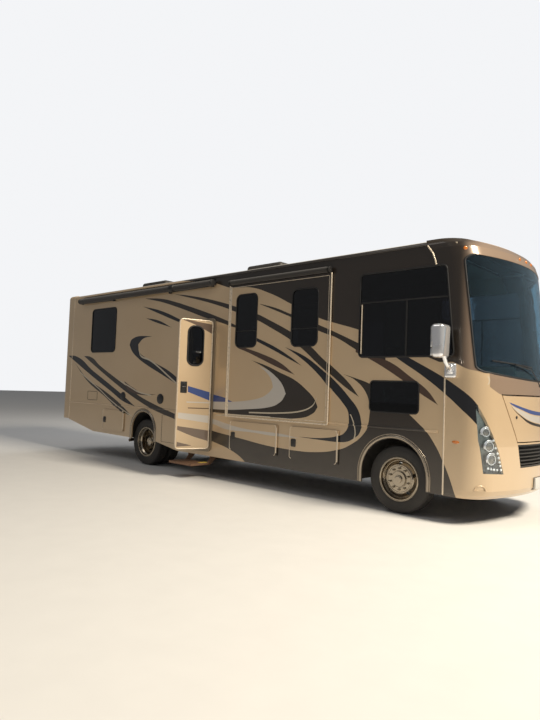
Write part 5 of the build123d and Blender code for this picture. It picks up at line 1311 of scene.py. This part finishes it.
def hang(piece):
    """Swing a piece that was made on the shut door to where the door stands open."""
    piece.data.transform(piece.matrix_world)
    piece.matrix_world = Matrix.Identity(4)
    swing = Matrix.Rotation(DOOR_OPEN, 4, "Z")
    piece.data.transform(Matrix.Translation(HINGE) @ swing @ Matrix.Translation(-HINGE))
    return piece


def on_door(reach, out, z):
    """A place on the door's outer face, by distance from the hinge and how far it stands out."""
    return HINGE.x - reach, DOOR_FACE - out, z


leaf = rounded(HINGE.x - DOOR_WIDTH + LEAF_INSET, HINGE.x - LEAF_GAP, DOOR_Z[0] + LEAF_INSET,
               DOOR_Z[1] - LEAF_INSET, LEAF_CORNER, DOOR_FACE - 0.001)
settle(hang(bead("door_edge", leaf, LEAF_RADIUS, closed=True)), "entry_door", bright_strip, "body_paint")
rings = [bead("ring", rounded(*DOOR_PANE, y, steps=10), radius, closed=True) for y, radius in DOOR_RINGS]
settle(hang(gather("door_window_ring", rings)), "entry_door", rubber, "interior_dark")
latch = [
    block("plate", on_door(0.575, 0.008, 1.500), on_door(0.455, -0.004, 1.700), 0.010, 4),
    block("paddle", on_door(0.555, 0.020, 1.535), on_door(0.475, 0.004, 1.615), 0.008, 4),
    disc("bolt", on_door(0.515, 0.010, 1.660), 0.015, 0.022, edge=0.003),
    disc("keyhole", on_door(0.490, 0.010, 1.515), 0.009, 0.018, edge=0.002),
    block("inner_plate", (HINGE.x - 0.575, DOOR_BACK - 0.002, 1.500),
          (HINGE.x - 0.455, DOOR_BACK + 0.010, 1.700), 0.010, 4),
]
settle(hang(gather("door_latch", latch)), "entry_door", latch_black, "interior_dark")
polished = finish_of("polished_steel", (0.72, 0.69, 0.64), 0.16, 90, 0.06, 0.30, 0.01, Metallic=1.0)
rail = [(HINGE.x - reach, DOOR_BACK + inward, z) for reach, inward, z in DOOR_RAIL]
settle(hang(bead("door_grab_rail", rail, DOOR_RAIL_RADIUS)), "entry_door", polished, "mirror_chrome")

# Door frame and steps: an aluminium frame is screwed over the opening, a lamp and a folding grab handle sit
# beside it, and a ribbed step with a yellow corner hangs below the stepwell.
STEP_RIBS, RIB_SPACING, RIB_START = 11, 0.032, -1.330
RIB_X, RIB_HALF, RIB_Z = (-4.385, -3.865), 0.009, (0.262, 0.274)
# Grab handle by (out from the side, height)
HANDLE = ((0.0, 1.20), (0.050, 1.215), (0.055, 1.40), (0.055, 1.86), (0.050, 2.045), (0.0, 2.06))
HANDLE_X, HANDLE_RADIUS = -4.580, 0.013
# The step's brown is its own tone, painted lighter as painted light for sun falling on the step
step_metal = finish_of("step_metal", (0.220, 0.115, 0.065), 0.50, 90, 0.16, 0.18, 0.10, Metallic=0.4)
frame_metal = finish_of("door_frame_metal", (0.30, 0.25, 0.19), 0.35, 120, 0.08, 0.25, 0.03, Metallic=0.6)
well_lining = finish_of("stepwell_lining", (0.020, 0.019, 0.018), 0.70, 120, 0.16, 0.35, 0.15)
dress(step_metal, "entry_step")
dress(frame_metal, "door_frame")
dress(well_lining, "stepwell")
ribs = [block("rib", (RIB_X[0], y - RIB_HALF, RIB_Z[0]), (RIB_X[1], y + RIB_HALF, RIB_Z[1]), 0.003, 2)
        for y in (RIB_START - RIB_SPACING * index for index in range(STEP_RIBS))]
ribs.append(block("nosing", (-4.395, -1.684, 0.236), (-3.862, -1.668, 0.273), 0.004, 2))
settle(gather("step_ribs", ribs), "chassis", step_metal, "step_metal")
warning_yellow = finish_of("warning_yellow", (0.78, 0.56, 0.05), 0.45, 140, 0.12, 0.35, 0.05)
settle(block("step_corner", (-3.875, -1.460, 0.236), (-3.792, -1.280, 0.275), 0.006), "chassis",
       warning_yellow, "step_metal")
porch_lens = finish_of("porch_lens", (0.70, 0.68, 0.62), 0.20, 160, 0.05, 0.10, 0.05)
porch_lamp = block("porch_lamp", beside(RIGHT, -4.560, 0.030, 2.560),
                   beside(RIGHT, -4.480, -0.004, 2.640), 0.012, 4)
settle(porch_lamp, "chassis", porch_lens, "lamp_lens")
handle = bead("grab_handle", [beside(RIGHT, HANDLE_X, out, z) for out, z in HANDLE], HANDLE_RADIUS)
settle(handle, "chassis", polished, "mirror_chrome")

# Awning: striped acrylic-faced fabric rolled on its tube between two end caps, held up by a cradle, on arms
# that fold against the wall; each slide-out room has a smaller roll of the same fabric over it.
AWNING_X = (-8.400, -3.760)
AWNING_OUT, AWNING_Z = 0.085, 3.500
AWNING_CUT, AWNING_RADII = 2.44, (0.0245, 0.0600)
AWNING_TUBE = 0.0235
CRADLE_X = -4.930
# Each arm folds from its shoulder to an elbow and back: shoulder, elbow
ARMS = ((-3.810, -5.06), (-8.350, -7.05))
SHOULDER_OUT, SHOULDER_Z = 0.045, 3.462
ELBOW_OUT, ELBOW_Z = 0.030, 3.452
FOREARM_OUT, FOREARM_Z, FOREARM_LEFT = 0.095, 3.444, 0.06
TOPPER_OUT, TOPPER_Z = 0.056, 3.455
TOPPER_CUT, TOPPER_RADII = 1.01, (0.0310, 0.0450)
TOPPER_TUBE, TOPPER_END, TOPPER_FOOT = 0.0300, 0.0465, 0.025
WINDING_STEPS = 20


def rolled_fabric(name, x_low, x_high, radii, cut, side, out, z):
    """Fabric of cut size wound into a spiral on a tube; returns it with its flat size."""
    spread = radii[1] - radii[0]
    turns = spread * cut / (math.pi * (radii[1] ** 2 - radii[0] ** 2))
    bpy.ops.mesh.primitive_grid_add(x_subdivisions=4, y_subdivisions=int(turns * WINDING_STEPS), size=1)
    cloth = bpy.context.object
    cloth.name = name
    for corner in cloth.data.vertices:
        share = corner.co.y + 0.5
        turn = share * turns * math.tau
        radius = radii[0] + spread * share
        x = x_low + (x_high - x_low) * (corner.co.x + 0.5)
        corner.co = beside(side, x, out + radius * math.cos(turn), z + radius * math.sin(turn))
    bpy.ops.object.shade_smooth()
    return cloth, (x_high - x_low, math.pi * turns * (radii[0] + radii[1]))


awning_fabric, tree, shader, worn, place = material_of(
    "awning_fabric", (0.030, 0.026, 0.024), 0.75, 420, 0.20, 0.25, 0.25, Sheen_Weight=0.2,
)
weave = add_node(tree, "ShaderNodeTexWave", {"Vector": place, "Scale": 55.0, "Distortion": 0.3},
                 bands_direction="X")
stripes = blend_colour(tree, reckon(tree, "MULTIPLY", weave.outputs["Fac"], 0.25), (0.020, 0.018, 0.017, 1),
                       (0.060, 0.050, 0.042, 1))
tree.links.new(stripes, worn.inputs["Color"])
awning_black = finish_of("awning_hardware", (0.022, 0.021, 0.021), 0.38, 160, 0.08, 0.20, 0.04, Metallic=0.3)
cloth, flat = rolled_fabric("awning_fabric", AWNING_X[0] + 0.03, AWNING_X[1] - 0.03, AWNING_RADII,
                            AWNING_CUT, RIGHT, AWNING_OUT, AWNING_Z)
settle(cloth, "chassis", awning_fabric, "awning_fabric")

hardware = []
for x, inward in ((AWNING_X[0], 1), (AWNING_X[1], -1)):
    hardware += [
        disc("cap", beside(RIGHT, x + inward * 0.014, AWNING_OUT, AWNING_Z), 0.0620, 0.028, axis="X",
             edge=0.006),
        block("bracket", beside(RIGHT, x + inward * 0.004, AWNING_OUT, AWNING_Z - 0.030),
              beside(RIGHT, x + inward * 0.050, 0, AWNING_Z + 0.030), 0.006),
    ]
for shoulder, elbow in ARMS:
    hand = shoulder - (shoulder - elbow) * FOREARM_LEFT
    upper_end = beside(RIGHT, shoulder, SHOULDER_OUT, SHOULDER_Z)
    lower_end = beside(RIGHT, elbow, ELBOW_OUT, ELBOW_Z)
    hardware += [
        bead("arm", [upper_end, lower_end], 0.019),
        bead("forearm", [lower_end, beside(RIGHT, hand, FOREARM_OUT, FOREARM_Z)], 0.014),
        disc("elbow", beside(RIGHT, elbow, 0.036, ELBOW_Z), 0.034, 0.070, axis="Z", edge=0.008),
        disc("shoulder", upper_end, 0.030, 0.060, axis="Z", edge=0.008),
    ]
hardware += [
    disc("tube", beside(RIGHT, sum(AWNING_X) / 2, AWNING_OUT, AWNING_Z), AWNING_TUBE,
         AWNING_X[1] - AWNING_X[0] - 0.06, axis="X"),
    disc("cradle", beside(RIGHT, CRADLE_X, AWNING_OUT, AWNING_Z), 0.0740, 0.130, axis="X", edge=0.014),
    block("cover", beside(RIGHT, AWNING_X[0] + 0.03, 0.012, 3.555),
          beside(RIGHT, AWNING_X[1] - 0.03, 0, 3.592), 0.004),
]
settle(gather("awning_hardware", hardware), "chassis", awning_black, "awning_fabric", "patio_awning")

for side, word, front, rear in ROOMS:
    body = f"slide_out_{word}"
    cloth, flat = rolled_fabric(f"topper_fabric_{word}", rear + 0.01, front - 0.01, TOPPER_RADII, TOPPER_CUT,
                                side, TOPPER_OUT, TOPPER_Z)
    settle(cloth, body, awning_fabric, "awning_fabric")
    feet_x = (rear - TOPPER_FOOT, front + TOPPER_FOOT)
    roller = [block("foot", beside(side, x - 0.012, 0.008, 3.405),
                    beside(side, x + 0.012, TOPPER_OUT, 3.450), 0.004) for x in feet_x]
    roller += [disc("end", beside(side, x, TOPPER_OUT, TOPPER_Z), TOPPER_END, 0.022, axis="X", edge=0.004)
               for x in feet_x]
    roller.append(disc("tube", beside(side, (rear + front) / 2, TOPPER_OUT, TOPPER_Z), TOPPER_TUBE,
                       front - rear + 0.03, axis="X"))
    settle(gather(f"topper_hardware_{word}", roller), body, awning_black, "awning_fabric",
           f"slide_topper_{word}")

# Roof units: two air units under moulded shrouds with louvred ends, and the lids of three vents between them,
# all screwed down through the roof sheet over foam gaskets.
UNIT_X = (-3.550, -7.050)
LOUVRES, LOUVRE_START, LOUVRE_SPACING, LOUVRE_HALF = 7, 0.14, 0.065, 0.022
LOUVRE_Y, LOUVRE_Z = (0.335, 0.352), (3.80, 3.90)
VENT_X, VENT_HALF = (-1.85, -5.35, -8.25), 0.20
shroud = finish_of("air_shroud", (0.050, 0.045, 0.040), 0.55, 150, 0.10, 0.30, 0.10)
dress(shroud, "air_units")
louvres = []
for middle in UNIT_X:
    for x in (middle + LOUVRE_START - LOUVRE_SPACING * index for index in range(LOUVRES)):
        louvres += [block("louvre", (x - LOUVRE_HALF, side * LOUVRE_Y[0], LOUVRE_Z[0]),
                          (x + LOUVRE_HALF, side * LOUVRE_Y[1], LOUVRE_Z[1]), 0.004, 2)
                    for side in (RIGHT, LEFT)]
settle(gather("air_unit_louvres", louvres), "chassis", latch_black, "shroud_plastic")
vents = [block("vent", (x - VENT_HALF, -0.56, 3.675), (x + VENT_HALF, -0.16, 3.755), 0.030, 4)
         for x in VENT_X]
settle(gather("roof_vents", vents), "chassis", shroud, "shroud_plastic")

# Small fittings: round filler ports, a service panel and the seam of a small locker on the right side, and on
# the nose the covers of the towing eyes, a blank plate in its frame, and the hatch's two locks.
PORTS = ((-5.274, 1.348, 0.100), (-6.572, 1.357, 0.088))
LID_SHARE = 0.72
SEAMS = (
    # name, rear, front, lower edge, upper edge, radius
    ("service_panel_edge", -8.000, -7.600, 1.235, 1.425, 0.004),
    ("locker_seam", -5.190, -4.760, 0.520, 1.040, 0.003),
)
SEAM_CORNER = 0.015
EYE_Y, EYE_Z, EYE_WIDE, EYE_TALL, EYE_RADIUS = 1.195, 0.46, 0.070, 0.062, 0.009
PLATE_FRAME = ((0.170, 0.572), (-0.170, 0.572), (-0.170, 0.416), (0.170, 0.416))
LOCK_Y, LOCK_Z = 0.672, 1.373
ports = []
for x, z, radius in PORTS:
    ports += [disc("port", beside(RIGHT, x, 0.004, z), radius, 0.016, edge=0.004),
              disc("lid", beside(RIGHT, x, 0.010, z), radius * LID_SHARE, 0.014, edge=0.004)]
settle(gather("filler_ports", ports), "chassis", latch_black, "interior_dark")
for name, rear, front, low, top, radius in SEAMS:
    seam = rounded(rear, front, low, top, SEAM_CORNER, -SIDE_Y - 0.001)
    settle(bead(name, seam, radius, closed=True), "chassis", rubber, "interior_dark")

eye_covers = []
for side in (RIGHT, LEFT):
    spot, out = nose_out(side * EYE_Y, EYE_Z)
    tangent = Vector((-out.y, out.x, 0))
    cover = [spot + tangent * EYE_WIDE * across + Vector((0, 0, EYE_TALL * up))
             for across, up in arc(0, 0, 1, 0, 180, 16)]
    eye_covers.append(bead("cover", cover, EYE_RADIUS, closed=True))
settle(gather("eye_covers", eye_covers), "chassis", body_paint, "cap_paint")
frame = [(nose_x(y, z) + 0.004, y, z) for y, z in PLATE_FRAME]
settle(bead("plate_frame", frame, 0.008, closed=True), "chassis", latch_black, "interior_dark")
plate_white = finish_of("plate_white", (0.62, 0.62, 0.60), 0.30, 160, 0.05, 0.30, 0.03)
settle(block("blank_plate", (NOSE_X - 0.030, -0.165, 0.420), (NOSE_X - 0.003, 0.165, 0.570), 0.004),
       "chassis", plate_white, "cap_paint")
lock_x = nose_x(LOCK_Y, LOCK_Z) + 0.001
locks = [disc("lock", (lock_x, side * LOCK_Y, LOCK_Z), 0.020, 0.010, axis="X", edge=0.003)
         for side in (RIGHT, LEFT)]
settle(gather("hatch_locks", locks), "front_hatch", latch_black, "interior_dark")

# Grille: black moulded bars across the nose opening, clipped in from behind, with a fine pressed mesh at
# their back that keeps stones off the radiator.
SCREEN_WIDE, SCREEN_TALL, SCREEN_Z = 1.24, 0.286, 0.874
SCREEN_SETBACK, SCREEN_THICK = 0.058, 0.003
dress(finish_of("grille_black", (0.010, 0.010, 0.010), 0.45, 170, 0.10, 0.25, 0.06), "grille")
bpy.ops.mesh.primitive_grid_add(x_subdivisions=24, y_subdivisions=4, size=1)
screen = bpy.context.object
screen.name = "grille_screen"
for corner in screen.data.vertices:
    y, z = corner.co.x * SCREEN_WIDE, SCREEN_Z + corner.co.y * SCREEN_TALL
    corner.co = (nose_x(y, z) - SCREEN_SETBACK, y, z)
thicken(screen, SCREEN_THICK)
screen_black, tree, shader, worn, place = material_of(
    "grille_screen", (0.006, 0.006, 0.006), 0.6, 150, 0.1, 0.1, 0.0,
)
cells = add_node(tree, "ShaderNodeTexVoronoi", {"Vector": place, "Scale": 70.0, "Randomness": 0.0},
                 feature="DISTANCE_TO_EDGE")
emboss(tree, shader, cells.outputs["Distance"], 0.8, 0.004)
settle(screen, "chassis", screen_black, "grille_dark")

# Cab, compartments and chassis: a padded dash, carpets, a leather-rimmed wheel and steel seat bases inside,
# grey compartment liners, and below them painted, cast and rolled steel under road dirt.
FINISHES = (
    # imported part, name, colour, roughness, grain, mottle, dust, relief, metal
    ("dash", "dash_vinyl", (0.050, 0.042, 0.035), 0.55, 260, 0.10, 0.05, 0.20, 0.0),
    ("engine_cover", "cover_carpet", (0.110, 0.085, 0.062), 0.90, 420, 0.22, 0.05, 0.50, 0.0),
    ("steering_wheel", "rim_leather", (0.018, 0.017, 0.016), 0.48, 320, 0.12, 0.0, 0.20, 0.0),
    ("seat_bases", "pedestal_steel", (0.020, 0.020, 0.021), 0.45, 150, 0.10, 0.10, 0.08, 0.4),
    ("floor", "floor_carpet", (0.120, 0.088, 0.060), 0.88, 380, 0.22, 0.10, 0.45, 0.0),
    ("bays_left", "bay_liner", (0.085, 0.085, 0.085), 0.65, 140, 0.12, 0.30, 0.12, 0.0),
    ("bays_right", "bay_liner_right", (0.085, 0.085, 0.085), 0.65, 140, 0.12, 0.30, 0.12, 0.0),
    ("chassis_frame", "frame_black", (0.018, 0.017, 0.016), 0.55, 70, 0.20, 0.60, 0.20, 0.2),
    ("leaf_springs", "spring_steel", (0.030, 0.024, 0.020), 0.60, 80, 0.25, 0.60, 0.25, 0.5),
    ("front_axle", "axle_black", (0.020, 0.019, 0.018), 0.55, 70, 0.20, 0.60, 0.20, 0.3),
    ("rear_axle", "rear_axle_black", (0.022, 0.020, 0.018), 0.55, 70, 0.20, 0.60, 0.20, 0.3),
    ("knuckle_left", "cast_iron", (0.050, 0.036, 0.028), 0.70, 110, 0.30, 0.50, 0.35, 0.4),
    ("knuckle_right", "cast_iron_right", (0.050, 0.036, 0.028), 0.70, 110, 0.30, 0.50, 0.35, 0.4),
    ("tie_rod", "rod_steel", (0.045, 0.038, 0.032), 0.50, 120, 0.20, 0.50, 0.15, 0.6),
    ("driveline", "engine_grey", (0.090, 0.090, 0.090), 0.55, 90, 0.20, 0.45, 0.20, 0.4),
    ("exhaust", "exhaust_steel", (0.160, 0.105, 0.070), 0.48, 60, 0.30, 0.45, 0.15, 0.8),
    ("fuel_tank", "tank_black", (0.016, 0.016, 0.017), 0.50, 120, 0.10, 0.60, 0.10, 0.0),
    ("hitch_receiver", "hitch_black", (0.016, 0.015, 0.015), 0.42, 110, 0.12, 0.45, 0.12, 0.2),
)
for packed, *look, metal in FINISHES:
    dress(finish_of(*look, Metallic=metal), packed)

# Cab seats: leather sewn over foam, drawn in by two rows of stitches so that each cushion swells between
# them, with a reclined back, a headrest and two armrests, on swivelling pedestals.
SEAT_MIDDLE = SIDE_Y - 0.562
SEAT_PARTS = (
    # name, low corner, high corner, lean about the y axis in degrees, cuts across each face, stitch rows at y
    ("cushion", (-0.33, -0.245, 1.440), (0.155, 0.245, 1.570), 0, 15, (-0.13, 0.13)),
    ("back", (-0.430, -0.235, 1.560), (-0.315, 0.235, 2.110), -8, 17, (-0.12, 0.12)),
    ("headrest", (-0.450, -0.125, 2.130), (-0.355, 0.125, 2.300), -6, 9, ()),
    ("arm_left", (-0.34, 0.210, 1.700), (0.050, 0.252, 1.752), 0, 7, ()),
    ("arm_right", (-0.34, -0.252, 1.700), (0.050, -0.210, 1.752), 0, 7, ()),
)
STUFFING_FRAMES, STUFFING_FORCE, LEATHER_STIFFNESS = 14, 2.6, 40
STITCH_REACH, PIPING_RISE = 0.014, 0.01

seat_leather, tree, shader, worn, place = material_of(
    "seat_leather", (0.210, 0.150, 0.098), 0.46, 300, 0.12, 0.0, 0.30, Sheen_Weight=0.1,
)
pores = add_node(tree, "ShaderNodeTexVoronoi", {"Vector": place, "Scale": 260.0}).outputs["Distance"]
creases = add_node(tree, "ShaderNodeTexNoise", {"Vector": place, "Scale": 9.0, "Detail": 7}).outputs["Fac"]
emboss(tree, shader, reckon(tree, "ADD", reckon(tree, "MULTIPLY", pores, 0.4), creases), 0.35, 0.004)
seats = []
for side, word in SIDES:
    for name, low, high, lean, cuts, rows in SEAT_PARTS:
        pad = block(f"seat_{name}_{word}", low, high)
        bpy.ops.object.mode_set(mode="EDIT")
        bpy.ops.mesh.select_all(action="SELECT")
        bpy.ops.mesh.subdivide(number_cuts=cuts)
        bpy.ops.object.mode_set(mode="OBJECT")
        stitches = pad.vertex_groups.new(name="stitches")
        held = [corner.index for corner in pad.data.vertices
                if any(abs(corner.co.y - row) < STITCH_REACH for row in rows)
                or corner.co.z + pad.location.z < low[2] + PIPING_RISE]
        stitches.add(held, 1.0, "REPLACE")
        foam = pad.modifiers.new("foam", "CLOTH").settings
        foam.use_pressure = True
        foam.uniform_pressure_force = STUFFING_FORCE
        foam.effector_weights.gravity = 0
        foam.tension_stiffness = foam.compression_stiffness = LEATHER_STIFFNESS
        foam.vertex_group_mass = stitches.name
        foam.quality = 6
        seats.append((pad, side, lean))
for number in range(1, STUFFING_FRAMES + 1):
    bpy.context.scene.frame_set(number)
for pad, side, lean in seats:
    select_only(pad)
    bpy.ops.object.modifier_apply(modifier="foam")
    seams = pad.modifiers.new("seams", "SUBSURF")
    seams.levels = seams.render_levels = 1
    bpy.ops.object.modifier_apply(modifier=seams.name)
    bpy.ops.object.shade_smooth()
    pad.rotation_euler.y = math.radians(lean)
    pad.location.y += side * SEAT_MIDDLE
bpy.context.scene.frame_set(1)
for pad, side, lean in seats:
    replaced = ["seats"] if pad == seats[0][0] else []
    settle(pad, "chassis", seat_leather, "seat_leather", *replaced)
